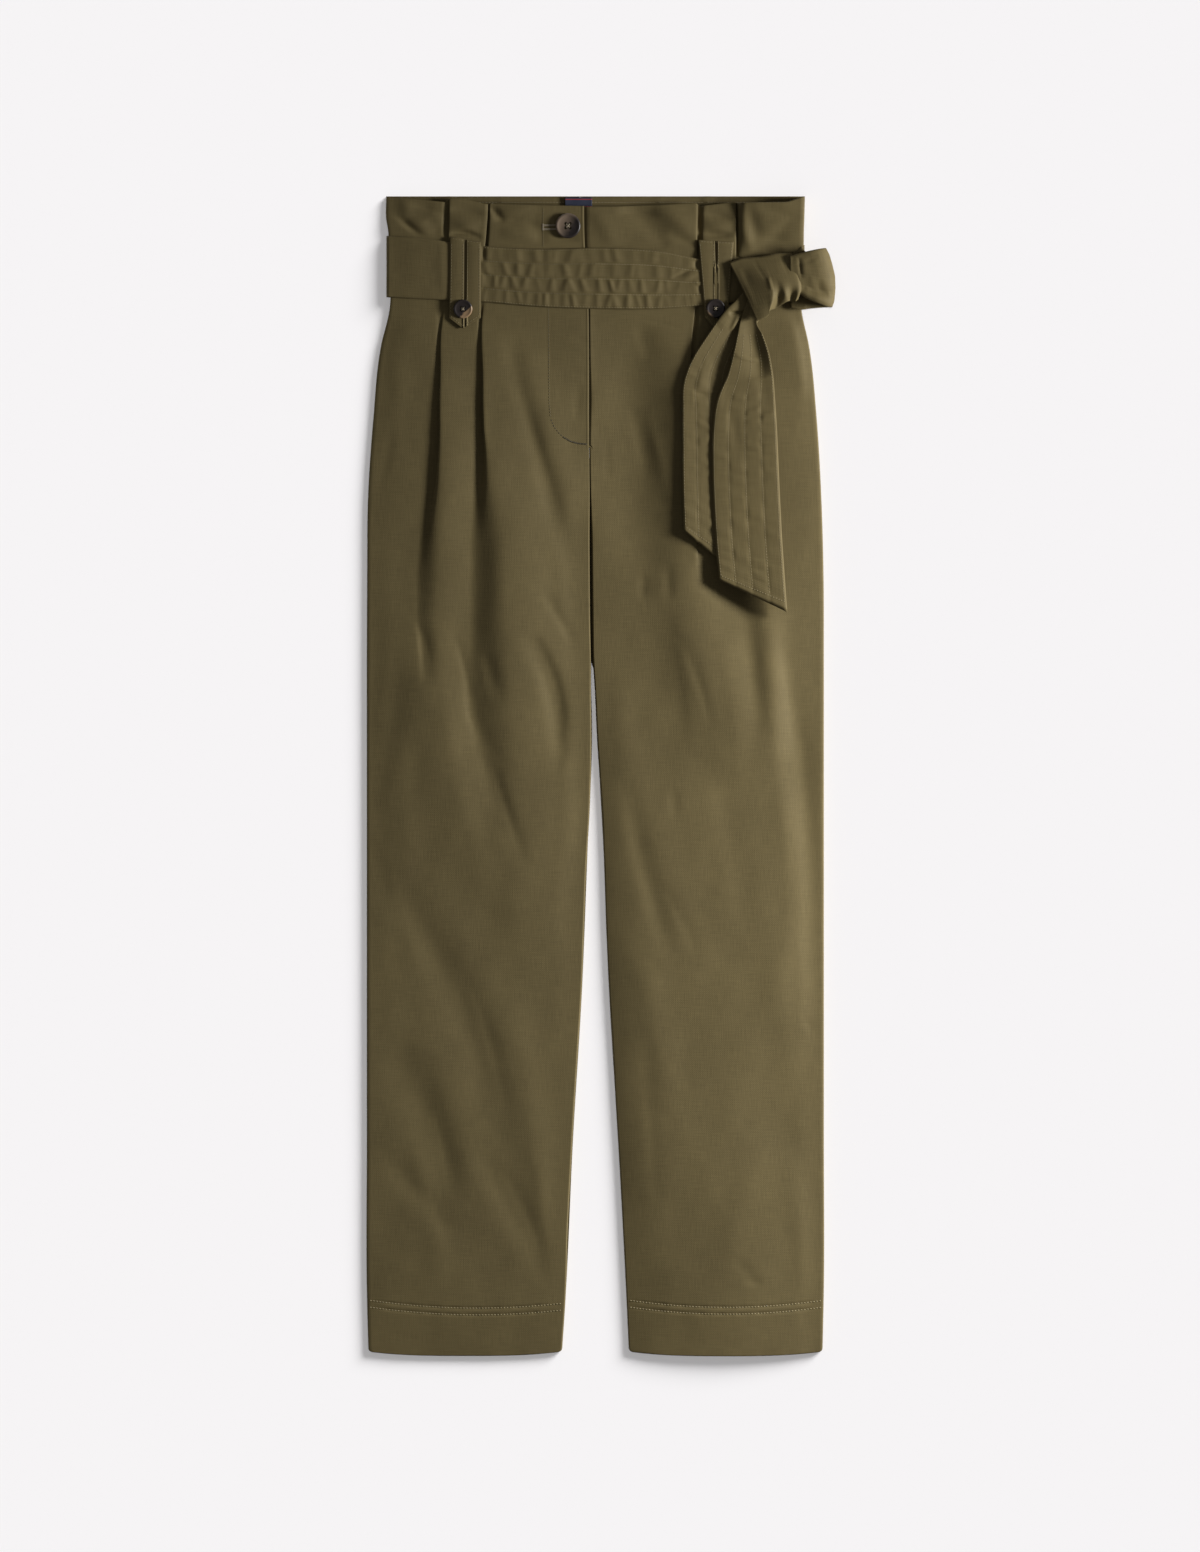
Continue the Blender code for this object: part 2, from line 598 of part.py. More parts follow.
def tail(name, rows, below):
    """A flat end of the sash through its sections."""
    share = np.array(TAIL_SHARES)
    rim = np.array(TAIL_RIM)
    x = rows["lx"][:, None] + (rows["rx"] - rows["lx"])[:, None] * share
    y = rows["ly"][:, None] + (rows["ry"] - rows["ly"])[:, None] * share
    z = rows["lz"][:, None] + (rows["rz"] - rows["lz"])[:, None] * share
    fine = np.linspace(0.0, len(x) - 1.0, 6 * (len(x) - 1) + 1)
    count = np.arange(len(x))
    near = np.array([[np.interp(fine, count, part[:, col]) for col in range(5)] for part in (x, y)])
    for number in np.flatnonzero(rows["lz"] == 0.0):
        close = np.abs(fine - number) <= 1.0
        z[number] = below(near[0][:, close].ravel(), near[1][:, close].ravel()) + AIR + SASH + 0.4
    return surface_wall(name, np.dstack([x, y, z + rim]), SASH)


def above_short_tail(x, y):
    """Height of the short tail's top, where the long tail lies on it."""
    return resting_height(x, y) + AIR + SASH + 0.6


# Knot: five lines across the wrap, each from its upper edge to its lower one.
KNOT_LINES = (
    ((115.2, 461.7, 17.0), (122.4, 447.3, 21.2), (129.6, 432.0, 24.4), (135.9, 418.5, 25.0),
     (141.3, 407.7, 24.2)),
    ((130.5, 465.8, 14.6), (136.8, 450.9, 22.6), (144.0, 435.6, 26.6), (149.4, 423.9, 27.2),
     (151.2, 417.6, 25.6)),
    ((145.8, 468.0, 14.6), (150.3, 456.3, 23.4), (153.9, 444.6, 28.2), (155.7, 435.6, 29.0),
     (155.2, 427.5, 27.0)),
    ((161.1, 468.0, 14.6), (163.8, 459.9, 22.8), (165.6, 451.8, 27.8), (166.5, 445.5, 29.2),
     (167.4, 438.0, 28.2)),
    ((176.4, 467.1, 14.6), (178.2, 459.0, 20.6), (179.1, 450.9, 24.6), (179.5, 442.8, 26.0),
     (179.5, 434.7, 25.2)),
)
KNOT_TUCK = (0.0, 1.2, -2.0)


def refine(points, factor):
    """More points along both ways of a grid, on smooth curves through the given ones."""
    for axis in (0, 1):
        count = points.shape[axis]
        places = np.linspace(0.0, count - 1.0, (count - 1) * factor + 1)
        whole = np.minimum(places.astype(int), count - 2)
        part = places - whole
        moved = np.moveaxis(points, axis, 0)
        padded = np.concatenate([2 * moved[:1] - moved[1:2], moved, 2 * moved[-1:] - moved[-2:-1]])
        p0, p1, p2, p3 = (padded[whole + shift] for shift in range(4))
        t = part[:, None, None]
        curve = p1 + 0.5 * t * (p2 - p0 + t * (2 * p0 - 5 * p1 + 4 * p2 - p3
                                               + t * (3 * (p1 - p2) + p3 - p0)))
        points = np.moveaxis(curve, 0, axis)
    return points


def knot():
    """The wrap that holds the bow: a fan of cloth, tucked in at its upper edge."""
    lines = np.array(KNOT_LINES)
    tuck = lines[:, :1] + np.array(KNOT_TUCK)
    points = refine(lines, 2)
    tuck = refine(np.concatenate([tuck, lines[:, :1]], axis=1), 2)[:, :1]
    return surface_wall("sash_knot", np.concatenate([tuck, points], axis=1), SASH)


# Bow: sections from below the knot out along the upper layer, round and back below.
# dip is how much lower the section's upper edge starts.
BOW = table("x high low z dip", [
    (171.0, 454.5, 437.5, 19.8, 2.6),
    (178.0, 456.0, 436.5, 20.2, 3.4),
    (183.6, 461.5, 433.5, 21.8, 3.2),
    (190.0, 468.0, 430.5, 23.6, 1.6),
    (198.0, 472.0, 427.0, 23.8, 0.4),
    (204.5, 473.5, 424.5, 22.0, 0.0),
    (208.4, 474.0, 423.0, 19.4, 0.0),
    (210.0, 473.5, 422.5, 16.6, 0.0),
    (208.9, 472.5, 422.5, 13.8, 0.0),
    (204.5, 471.5, 423.0, 11.9, 0.0),
    (197.0, 470.0, 425.5, 11.2, 0.0),
    (188.0, 468.0, 429.0, 11.2, 0.0),
    (180.0, 465.0, 432.0, 11.2, 0.0),
    (172.0, 460.0, 434.0, 11.2, 0.0),
])
BOW_REACH = table("share reach", [(0.0, 0.81), (0.2, 0.93), (0.45, 1.0), (0.75, 1.0), (1.0, 0.95)])
BOW_MIDDLE = 16.7      # height half way between the two layers
BOW_DOME = 1.2


def bow():
    """The loop of the bow, a strip bent back on itself."""
    share = np.linspace(0.0, 1.0, 7)
    reach = np.interp(share, BOW_REACH["share"], BOW_REACH["reach"])
    root = BOW["x"][0]
    x = root + (BOW["x"][:, None] - root) * reach
    y = BOW["high"][:, None] + (BOW["low"] - BOW["high"])[:, None] * share
    above = BOW["z"][:, None] - BOW_MIDDLE
    dome = BOW_DOME * np.sin(math.pi * share) * smooth(0.0, 3.0, above)
    z = BOW["z"][:, None] + dome - BOW["dip"][:, None] * smooth(0.4, 0.0, share)
    return surface_wall("sash_bow", grid(x, y, z), SASH)


# Buttons: radius, place of the centre, lean about X and height of the back.
BUTTONS = {
    "button_waist": {"radius": 11.25, "x": -28.8, "y": 495.0, "lean": 0.0, "on": None},
    "button_right": {"radius": 8.5, "x": -123.3, "y": 420.3, "lean": 12.0, "on": "carrier_right"},
    "button_left": {"radius": 8.5, "x": 104.0, "y": 420.8, "lean": 12.0, "on": "carrier_left"},
}
BUTTON_SIDES = 24
BUTTON_PROFILE = ((0.8, 0.0), (1.0, 0.10), (1.0, 0.17), (0.92, 0.26), (0.72, 0.20))
HOLE_RADIUS = 0.09
HOLE_OFFSET = 0.27
HOLE_SIDES = 8


def turned(name, profile, sides):
    """A profile turned round Z, with a flat face at either end."""
    vertices = []
    for radius, z in profile:
        for step in range(sides):
            angle = 2.0 * math.pi * (step + 0.5) / sides
            vertices.append((radius * math.cos(angle), radius * math.sin(angle), z))
    faces = [tuple(range(sides)), tuple(range(len(vertices) - 1, len(vertices) - sides - 1, -1))]
    for ring in range(len(profile) - 1):
        for step in range(sides):
            here = ring * sides + step
            after = ring * sides + (step + 1) % sides
            faces.append((after, here, here + sides, after + sides))
    return make_object(name, vertices, faces, HORN, 0.35)


def button(name, shape):
    """A four-hole button with a raised rim, just clear of the cloth below it."""
    radius = shape["radius"]
    body = turned(name, [(r * radius, z * radius) for r, z in BUTTON_PROFILE], BUTTON_SIDES)
    hole = HOLE_RADIUS * radius
    drill = [(hole, -radius), (hole, radius)]
    lean = math.radians(shape["lean"])
    reach = np.linspace(-radius, radius, 13)
    if shape["on"] is None:
        base = float(np.max(front_height(shape["x"] + reach[:, None], shape["y"] + reach[None, :])))
    else:
        levels = carrier_levels(CARRIERS[shape["on"]])
        cloth = column(levels, "z", shape["y"] + reach) + CARRIER + CARRIER_CROWN
        base = float(np.max(cloth - reach * math.tan(lean))) - CARRIER_CROWN
    place = (shape["x"] * MM, shape["y"] * MM, (base + SEAM) * MM)
    for number in range(4):
        angle = math.radians(45.0 + 90.0 * number)
        cutter = turned(f"{name}_drill_{number}", drill, HOLE_SIDES)
        cutter.location = (HOLE_OFFSET * radius * math.cos(angle) * MM,
                           HOLE_OFFSET * radius * math.sin(angle) * MM, 0.0)
        cutter.parent = body
        cutter.hide_render = True
        cutter.display_type = "WIRE"
        cut = body.modifiers.new("hole", "BOOLEAN")
        cut.operation = "DIFFERENCE"
        cut.solver = "EXACT"
        cut.object = cutter
    body.location = place
    body.rotation_euler = (lean, 0.0, 0.0)


def tape():
    """A plain woven tape inside the back waist."""
    x = np.array((-31.5, -19.4, -7.2))[None, :]
    y = np.array((521.0, 510.5))[:, None]
    under = BACK_FOLD + SEAM
    return wall("waist_tape", grid(x, y, under + TAPE), grid(x, y, under), NAVY, 0.8)


def clear_scene():
    """Remove what the scene holds at the start."""
    for obj in list(bpy.data.objects):
        bpy.data.objects.remove(obj, do_unlink=True)


def build():
    """Make every piece."""
    right_edge, left_edge = fly_edges()
    front_panel("front_right", RIGHT, right_edge, False)
    front_panel("front_left", LEFT, left_edge, True)
    right_edge, left_edge = back_edges()
    back_panel("back_right", RIGHT, right_edge)
    back_panel("back_left", LEFT, left_edge)
    sash_front()
    sash_back()
    for name, shape in CARRIERS.items():
        carrier(name, shape)
    tail("sash_tail_short", SHORT_TAIL, resting_height)
    tail("sash_tail_long", LONG_TAIL, above_short_tail)
    knot()
    bow()
    for name, shape in BUTTONS.items():
        button(name, shape)
    tape()


clear_scene()
build()
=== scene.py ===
# Paperbag waist trousers with a quilted sash, laid flat with the front up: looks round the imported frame.
# Lengths are in millimetres until a grid goes into its mesh. +X is the wearer's left, +Y the waist, +Z up.
import math

import bpy
import numpy as np
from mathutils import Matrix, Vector
from mathutils.bvhtree import BVHTree


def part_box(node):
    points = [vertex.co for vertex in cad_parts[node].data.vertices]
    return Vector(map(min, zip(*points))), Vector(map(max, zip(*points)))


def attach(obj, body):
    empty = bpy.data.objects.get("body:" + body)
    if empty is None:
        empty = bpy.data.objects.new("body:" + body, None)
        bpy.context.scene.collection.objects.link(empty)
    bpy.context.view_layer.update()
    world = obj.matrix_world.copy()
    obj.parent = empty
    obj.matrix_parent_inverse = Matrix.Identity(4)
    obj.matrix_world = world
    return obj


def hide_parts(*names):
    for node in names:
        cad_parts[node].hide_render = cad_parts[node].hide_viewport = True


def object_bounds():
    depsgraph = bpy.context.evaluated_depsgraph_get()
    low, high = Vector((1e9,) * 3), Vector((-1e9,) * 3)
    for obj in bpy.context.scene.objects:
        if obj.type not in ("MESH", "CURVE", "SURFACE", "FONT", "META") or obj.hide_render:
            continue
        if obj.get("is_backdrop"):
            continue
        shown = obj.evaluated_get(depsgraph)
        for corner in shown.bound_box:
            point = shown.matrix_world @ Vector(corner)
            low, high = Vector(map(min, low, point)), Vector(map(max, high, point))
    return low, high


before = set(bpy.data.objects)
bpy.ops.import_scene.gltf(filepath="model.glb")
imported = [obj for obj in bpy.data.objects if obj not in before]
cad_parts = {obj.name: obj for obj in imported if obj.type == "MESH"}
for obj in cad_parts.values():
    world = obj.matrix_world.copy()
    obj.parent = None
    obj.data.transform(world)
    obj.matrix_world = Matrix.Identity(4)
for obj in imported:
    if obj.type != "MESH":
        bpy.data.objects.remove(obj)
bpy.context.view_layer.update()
mm = 0.001
print("frame loaded:", sorted(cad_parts))


def table(names, rows):
    # rows of numbers as one array for each named column
    return dict(zip(names.split(), np.array(rows, dtype=float).T))


def smooth(start, end, value):
    # 0 at start, 1 at end, 3 t^2 - 2 t^3 between them
    t = np.clip((value - start) / (end - start), 0.0, 1.0)
    return t * t * (3.0 - 2.0 * t)


def through(places, values, x):
    # cubic curve through the values at the places, its slope at each taken from the two beside it
    if places[0] > places[-1]:
        places, values = places[::-1], values[::-1]
    slopes = np.gradient(values, places)
    x = np.clip(x, places[0], places[-1])
    i = np.clip(np.searchsorted(places, x) - 1, 0, len(places) - 2)
    gap = places[i + 1] - places[i]
    t = (x - places[i]) / gap
    start = (1.0 + 2.0 * t) * (1.0 - t) ** 2 * values[i] + t * (1.0 - t) ** 2 * gap * slopes[i]
    return start + t * t * (3.0 - 2.0 * t) * values[i + 1] - t * t * (1.0 - t) * gap * slopes[i + 1]


def level(rows, name, y):
    # a table's column at the heights y, straight between its rows
    return np.interp(y, rows["y"][::-1], rows[name][::-1])


def curved(rows, name, y):
    # a table's column at the heights y, on a smooth curve through its rows
    return through(rows["y"], rows[name], y)


def eased(rows, name, y, reach):
    # a table's column, its corners rounded by a mean over y - reach to y + reach
    return np.mean([level(rows, name, y + offset) for offset in np.linspace(-reach, reach, 9)], axis=0)


def crumple(x, y, wide, tall, seed):
    # smooth random heights from -1 to 1: a lattice of them, blended with 3 t^2 - 2 t^3 both ways
    lattice = np.random.RandomState(seed).uniform(-1.0, 1.0, (128, 128))
    u = x / wide + 60.0
    v = y / tall + 60.0
    i = np.floor(u).astype(int)
    j = np.floor(v).astype(int)
    s = smooth(0.0, 1.0, u - i)
    t = smooth(0.0, 1.0, v - j)
    near, far = [lattice[i % 128, k % 128] * (1.0 - s) + lattice[(i + 1) % 128, k % 128] * s
                 for k in (j, j + 1)]
    return near * (1.0 - t) + far * t


def foldRelief(rows, x, y, fade=0.8):
    # sum of folds: height * sin(pi * share along the line) ^ fade * exp(-(distance / width)^2),
    # each line bowed sideways by a parabola, with its own width on either side
    total = np.zeros(np.broadcast(x, y).shape)
    for x0, y0, x1, y1, bow, west, east, height in zip(*rows.values()):
        dx = x1 - x0
        dy = y1 - y0
        length = math.hypot(dx, dy)
        along = np.clip(((x - x0) * dx + (y - y0) * dy) / length ** 2, 0.0, 1.0)
        across = ((y - y0) * dx - (x - x0) * dy) / length - bow * 4.0 * along * (1.0 - along)
        width = np.where(across < 0.0, west, east)
        total = total + height * np.sin(math.pi * along) ** fade * np.exp(-(across / width) ** 2)
    return total


def lineDistance(x, y, corners):
    # distance from each point to the nearest stretch of a line through the corners
    nearest = np.full(np.broadcast(x, y).shape, np.inf)
    for (x0, y0), (x1, y1) in zip(corners[:-1], corners[1:]):
        dx = x1 - x0
        dy = y1 - y0
        along = np.clip(((x - x0) * dx + (y - y0) * dy) / (dx * dx + dy * dy), 0.0, 1.0)
        nearest = np.minimum(nearest, np.hypot(x - x0 - along * dx, y - y0 - along * dy))
    return nearest


def lengthAlong(points):
    # distance along a line from its first point to each of its points
    return np.concatenate([[0.0], np.cumsum(np.linalg.norm(np.diff(points, axis=0), axis=1))])


def bands(rows, last):
    # places from one band's top to the next, in even steps that each band sets
    parts = [np.linspace(top, bottom, int(round((top - bottom) / step)), endpoint=False)
             for top, bottom, step in rows]
    return np.concatenate(parts + [[last]])


def refine(points, factor):
    # more points along both ways of a grid, on smooth curves through the given ones
    for axis in (0, 1):
        count = points.shape[axis]
        places = np.linspace(0.0, count - 1.0, (count - 1) * factor + 1)
        moved = np.moveaxis(points, axis, 0)
        flat = moved.reshape(count, -1)
        steps = np.arange(count, dtype=float)
        fine = np.stack([through(steps, flat[:, k], places) for k in range(flat.shape[1])], axis=1)
        points = np.moveaxis(fine.reshape((len(places),) + moved.shape[1:]), 0, axis)
    return points


def grid(x, y, z):
    # three arrays as one grid of points
    return np.stack(np.broadcast_arrays(x, y, z), axis=-1)


def between(start, stop, steps):
    # columns from start towards stop, which is left out
    return [start + (stop - start) * step / steps for step in range(steps)]


def bothEdges(share):
    # 1 at both edges of a strip, 0 from a twentieth of its width inwards
    return smooth(0.05, 0.0, share) ** 2 + smooth(0.95, 1.0, share) ** 2


def newPiece(name, mesh, material, node=None):
    # a mesh as a smooth piece that rides on the trousers and stands for its node
    mesh.shade_smooth()
    mesh.materials.append(material)
    piece = bpy.data.objects.new(name, mesh)
    bpy.context.scene.collection.objects.link(piece)
    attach(piece, "root")
    if node:
        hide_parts(node)
    return piece


def clothUv(points):
    # metres along the middle row and the middle column of a grid, so that the weave keeps its size
    rows, columns = points.shape[:2]
    across = lengthAlong(points[rows // 2]) * mm
    along = lengthAlong(points[:, columns // 2]) * mm
    return np.stack(np.meshgrid(across, along), axis=-1)


def clothPiece(name, points, material, node, thickness=0.7, up=1.0, uv=None):
    # a grid of points as a sheet with its faces turned up (1) or down (-1), thickened inwards
    rows, columns = points.shape[:2]
    index = np.arange(rows * columns).reshape(rows, columns)
    quads = np.stack([index[:-1, :-1], index[1:, :-1], index[1:, 1:], index[:-1, 1:]], axis=-1).reshape(-1, 4)
    flat = points.reshape(-1, 3)
    turned = np.cross(flat[quads[:, 2]] - flat[quads[:, 0]], flat[quads[:, 3]] - flat[quads[:, 1]])
    if turned[:, 2].sum() * up < 0.0:
        quads = quads[:, ::-1]
    mesh = bpy.data.meshes.new(name)
    mesh.from_pydata((flat * mm).tolist(), [], quads.tolist())
    place = (clothUv(points) if uv is None else uv).reshape(-1, 2)
    mesh.uv_layers.new(name="cloth").data.foreach_set("uv", place[quads.ravel()].ravel())
    piece = newPiece(name, mesh, material, node)
    piece.modifiers.new("cloth", "SOLIDIFY").thickness = thickness * mm
    return piece


def placesOf(mesh):
    # a mesh's points, one row each, in metres
    points = np.zeros(len(mesh.vertices) * 3)
    mesh.vertices.foreach_get("co", points)
    return points.reshape(-1, 3)


def surfaceOf(*pieces):
    # search trees of the pieces' own surfaces, in millimetres
    found = []
    for piece in pieces:
        faces = [tuple(face.vertices) for face in piece.data.polygons]
        found.append(BVHTree.FromPolygons((placesOf(piece.data) / mm).tolist(), faces))
    return found


def fallOnto(trees, x, y, above=60.0):
    # the highest point of the surfaces below (x, y) and the normal there
    best = None
    for tree in trees:
        place, normal, _, _ = tree.ray_cast(Vector((x, y, above)), Vector((0.0, 0.0, -1.0)))
        if place is not None and (best is None or place.z > best[0].z):
            best = (place, normal if normal.z > 0.0 else -normal)
    return best


def laidOn(trees, pairs, lift, steepest=math.inf):
    # both ends of each stitch on what is below them, with the normal there; a steeper one is left out
    found = []
    for a, b in pairs:
        first = fallOnto(trees, *a)
        second = fallOnto(trees, *b)
        if first and second and abs(first[0].z - second[0].z) <= steepest:
            found.append((first[0], second[0], first[1] + second[1]))
    starts, ends, normals = np.array(found, dtype=float).transpose(1, 0, 2)
    normals = normals / np.linalg.norm(normals, axis=1, keepdims=True)
    return starts + lift * normals, ends + lift * normals, normals


def threadMesh(name, starts, ends, normals, material, width=0.5, rise=0.3, sides=6):
    # each stitch is a rounded rod, thin at its ends: radius * (1 - t^4)^0.5 along t from -1 to 1
    along = np.array([-0.94, -0.7, 0.0, 0.7, 0.94])
    swell = np.sqrt(1.0 - along ** 4)
    angle = np.linspace(0.0, 2.0 * math.pi, sides, endpoint=False)
    ring = np.stack([np.repeat(along, sides), np.outer(swell, np.cos(angle)).ravel(),
                     np.outer(swell, np.sin(angle)).ravel()], axis=1)
    template = np.concatenate([[(-1.0, 0.0, 0.0)], ring, [(1.0, 0.0, 0.0)]])
    faces = []
    last = len(template) - 1
    for step in range(sides):
        after = (step + 1) % sides
        faces.append((0, 1 + after, 1 + step, 0))
        faces.append((last, last - sides + step, last - sides + after, last))
        for row in range(len(along) - 1):
            low = 1 + row * sides
            faces.append((low + step, low + after, low + sides + after, low + sides + step))
    middle = 0.5 * (starts + ends)
    half = 0.5 * (ends - starts)
    forward = half / np.linalg.norm(half, axis=1, keepdims=True)
    aside = np.cross(normals, forward)
    aside /= np.linalg.norm(aside, axis=1, keepdims=True)
    points = (middle[:, None] + template[None, :, :1] * half[:, None]
              + template[None, :, 1:2] * aside[:, None] * 0.5 * width
              + template[None, :, 2:] * np.cross(forward, aside)[:, None] * rise)
    quads = (np.array(faces)[None] + (np.arange(len(middle)) * len(template))[:, None, None]).reshape(-1, 4)
    polygons = [tuple(q[:3]) if q[0] == q[3] else tuple(q) for q in quads.tolist()]
    mesh = bpy.data.meshes.new(name)
    mesh.from_pydata((points.reshape(-1, 3) * mm).tolist(), [], polygons)
    return newPiece(name, mesh, material)


def pointsAt(corners, at):
    # the points of a line through its corners at the distances along it
    reach = lengthAlong(corners)
    return np.stack([np.interp(at, reach, corners[:, k]) for k in (0, 1)], axis=1)


def sew(name, lines, trees, material, slot="twill", pitch=2.7, length=1.7, width=0.55, rise=0.3):
    # rows of stitches along the lines, laid on what is below; a stitch over an edge is left out
    pairs = []
    for line in lines:
        corners = np.array(line, dtype=float)
        starts = np.arange(0.5 * pitch, lengthAlong(corners)[-1] - length, pitch)
        pairs += list(zip(pointsAt(corners, starts), pointsAt(corners, starts + length)))
    starts, ends, normals = laidOn(trees, pairs, 0.05, 0.9 * length)
    print("sewn:", name, len(starts), "stitches")
    threadMesh(name, starts, ends, normals, material, width, rise)


def tackRow(name, line, across, pitch, trees, material):
    # a dense row of short stitches laid square to a line
    corners = np.array(line, dtype=float)
    centre = pointsAt(corners, np.arange(0.0, lengthAlong(corners)[-1], pitch))
    direction = np.gradient(centre, axis=0)
    direction /= np.linalg.norm(direction, axis=1, keepdims=True)
    aside = np.stack([-direction[:, 1], direction[:, 0]], axis=1) * 0.5 * across
    starts, ends, normals = laidOn(trees, zip(centre - aside, centre + aside), 0.1)
    threadMesh(name, starts, ends, normals, material, 0.45, 0.3)


def hexColour(text):
    # an sRGB hex value as linear red, green, blue and alpha
    channels = np.array([int(text[i:i + 2], 16) for i in (1, 3, 5)]) / 255.0
    linear = np.where(channels <= 0.04045, channels / 12.92, ((channels + 0.055) / 1.055) ** 2.4)
    return (*linear.tolist(), 1.0)


def feed(tree, node, values):
    # a node's inputs, each linked from a socket or set to a value
    for key, value in values.items():
        if isinstance(value, bpy.types.NodeSocket):
            tree.links.new(value, node.inputs[key])
        else:
            node.inputs[key].default_value = value


def addNode(tree, kind, values=None, **settings):
    # a shader node with its settings and inputs
    node = tree.nodes.new("ShaderNode" + kind)
    for key, value in settings.items():
        setattr(node, key, value)
    feed(tree, node, values or {})
    return node


def newMaterial(name):
    # a material, its node tree and its shader
    material = bpy.data.materials.new(name)
    material.use_nodes = True
    return material, material.node_tree, material.node_tree.nodes["Principled BSDF"]


def wovenCotton(name, look):
    # two-ply cotton woven in a 2/1 twill: matt, with a faint diagonal rib, uneven threads along and
    # across, and cloudy dye. A rib is really 0.5 mm wide, and is drawn at ribWidth so that it shows
    material, tree, shader = newMaterial(name)
    place = addNode(tree, "UVMap", uv_map="cloth").outputs["UV"]
    wide = 1.0 / look["threadWidth"]
    long = 1.0 / look["threadLength"]
    mapped = [addNode(tree, "Mapping", {"Vector": place, "Scale": scale}).outputs[0]
              for scale in ((wide, long, 1.0), (long, wide, 1.0))]
    along, across = [addNode(tree, "TexNoise", {"Vector": vector, "Scale": 1.0, "Detail": 2.0}).outputs["Fac"]
                     for vector in mapped]
    cloud = addNode(tree, "TexNoise", {"Vector": place, "Scale": 1.0 / look["cloudSize"], "Detail": 3.0})
    # a diagonal wave repeats every 0.444 / scale, measured square to its bands
    rib = addNode(tree, "TexWave", {"Vector": place, "Scale": 0.444 / look["ribWidth"], "Distortion": 0.6,
                                    "Detail": 1.0}, wave_type="BANDS", bands_direction="DIAGONAL")
    threads = addNode(tree, "Math", {0: along, 1: across}, operation="ADD").outputs[0]
    tone = 0.0
    for part, share in ((threads, 0.5), (rib.outputs["Fac"], 0.12), (cloud.outputs["Fac"], 0.5)):
        # shares of the threads' shade, of the rib and of the cloudy dye
        tone = addNode(tree, "Math", {0: part, 1: share, 2: tone}, operation="MULTIPLY_ADD").outputs[0]
    spread = addNode(tree, "MapRange", {"Value": tone, "From Min": 0.5, "From Max": 1.1})
    colour = addNode(tree, "Mix", {"Factor": spread.outputs[0], "A": hexColour(look["dark"]),
                                   "B": hexColour(look["light"])}, data_type="RGBA")
    height = addNode(tree, "Math", {0: rib.outputs["Fac"], 1: 0.35, 2: threads}, operation="MULTIPLY_ADD")
    bump = addNode(tree, "Bump", {"Height": height.outputs[0], "Strength": look["bump"], "Distance": 0.0004})
    feed(tree, shader, {"Base Color": colour.outputs["Result"], "Normal": bump.outputs["Normal"],
                        "Roughness": look["roughness"], "Specular IOR Level": look["specular"],
                        "Sheen Weight": look["sheen"], "Sheen Roughness": 0.45,
                        "Sheen Tint": hexColour("#CFC6A8")})
    return material


def spunThread(name, look):
    # spun polyester sewing thread: two plies twisted, its colour turning from a darker to a lighter shade
    # along each turn: the lighter shade is a painted glint
    material, tree, shader = newMaterial(name)
    dark, light, plyLength, roughness = look
    place = addNode(tree, "TexCoord").outputs["Object"]
    paintedGlint = addNode(tree, "TexNoise", {"Vector": place, "Scale": 1.0 / plyLength, "Detail": 2.0})
    colour = addNode(tree, "Mix", {"Factor": paintedGlint.outputs["Fac"], "A": hexColour(dark), "B": hexColour(light)},
                     data_type="RGBA")
    feed(tree, shader, {"Base Color": colour.outputs["Result"], "Roughness": roughness, "Sheen Weight": 0.2})
    return material


def polishedHorn(name, look, centre, shape):
    # horn sawn, turned and polished: a soft gloss over cloudy dark brown, with one pale streaked patch that
    # is partly the horn's own streak and partly a painted highlight
    material, tree, shader = newMaterial(name)
    place = addNode(tree, "TexCoord").outputs["Object"]
    mapped = addNode(tree, "Mapping", {"Vector": place, "Location": [-c * mm for c in centre]},
                     vector_type="POINT")
    turned = addNode(tree, "Mapping", {"Vector": mapped.outputs[0],
                                       "Rotation": (0.0, 0.0, -math.radians(shape["streakAndHighlightPatch"]))})
    axis = addNode(tree, "SeparateXYZ", {"Vector": turned.outputs[0]})
    cloud = addNode(tree, "TexNoise", {"Vector": mapped.outputs[0], "Scale": 1.0 / look["cloudSize"],
                                       "Detail": 4.0, "Distortion": 0.8}).outputs["Fac"]
    start = (shape["streakAndHighlightStart"] * shape["radius"] + 0.35 * look["cloudSize"] / mm) * mm
    moved = addNode(tree, "Math", {0: cloud, 1: look["cloudSize"], 2: axis.outputs["X"]},
                    operation="MULTIPLY_ADD")
    streakAndHighlightPatch = addNode(tree, "MapRange", {"Value": moved.outputs[0], "From Min": start,
                                       "From Max": start + shape["streakAndHighlightSoft"] * shape["radius"] * mm})
    brown = addNode(tree, "Mix", {"Factor": cloud, "A": hexColour(look["dark"]),
                                  "B": hexColour(look["brown"])}, data_type="RGBA")
    colour = addNode(tree, "Mix", {"Factor": streakAndHighlightPatch.outputs[0], "A": brown.outputs["Result"],
                                   "B": hexColour(shape["paleStreakAndHighlight"])}, data_type="RGBA")
    feed(tree, shader, {"Base Color": colour.outputs["Result"], "Roughness": look["roughness"],
                        "Coat Weight": 0.08, "Coat Roughness": 0.35})
    return material


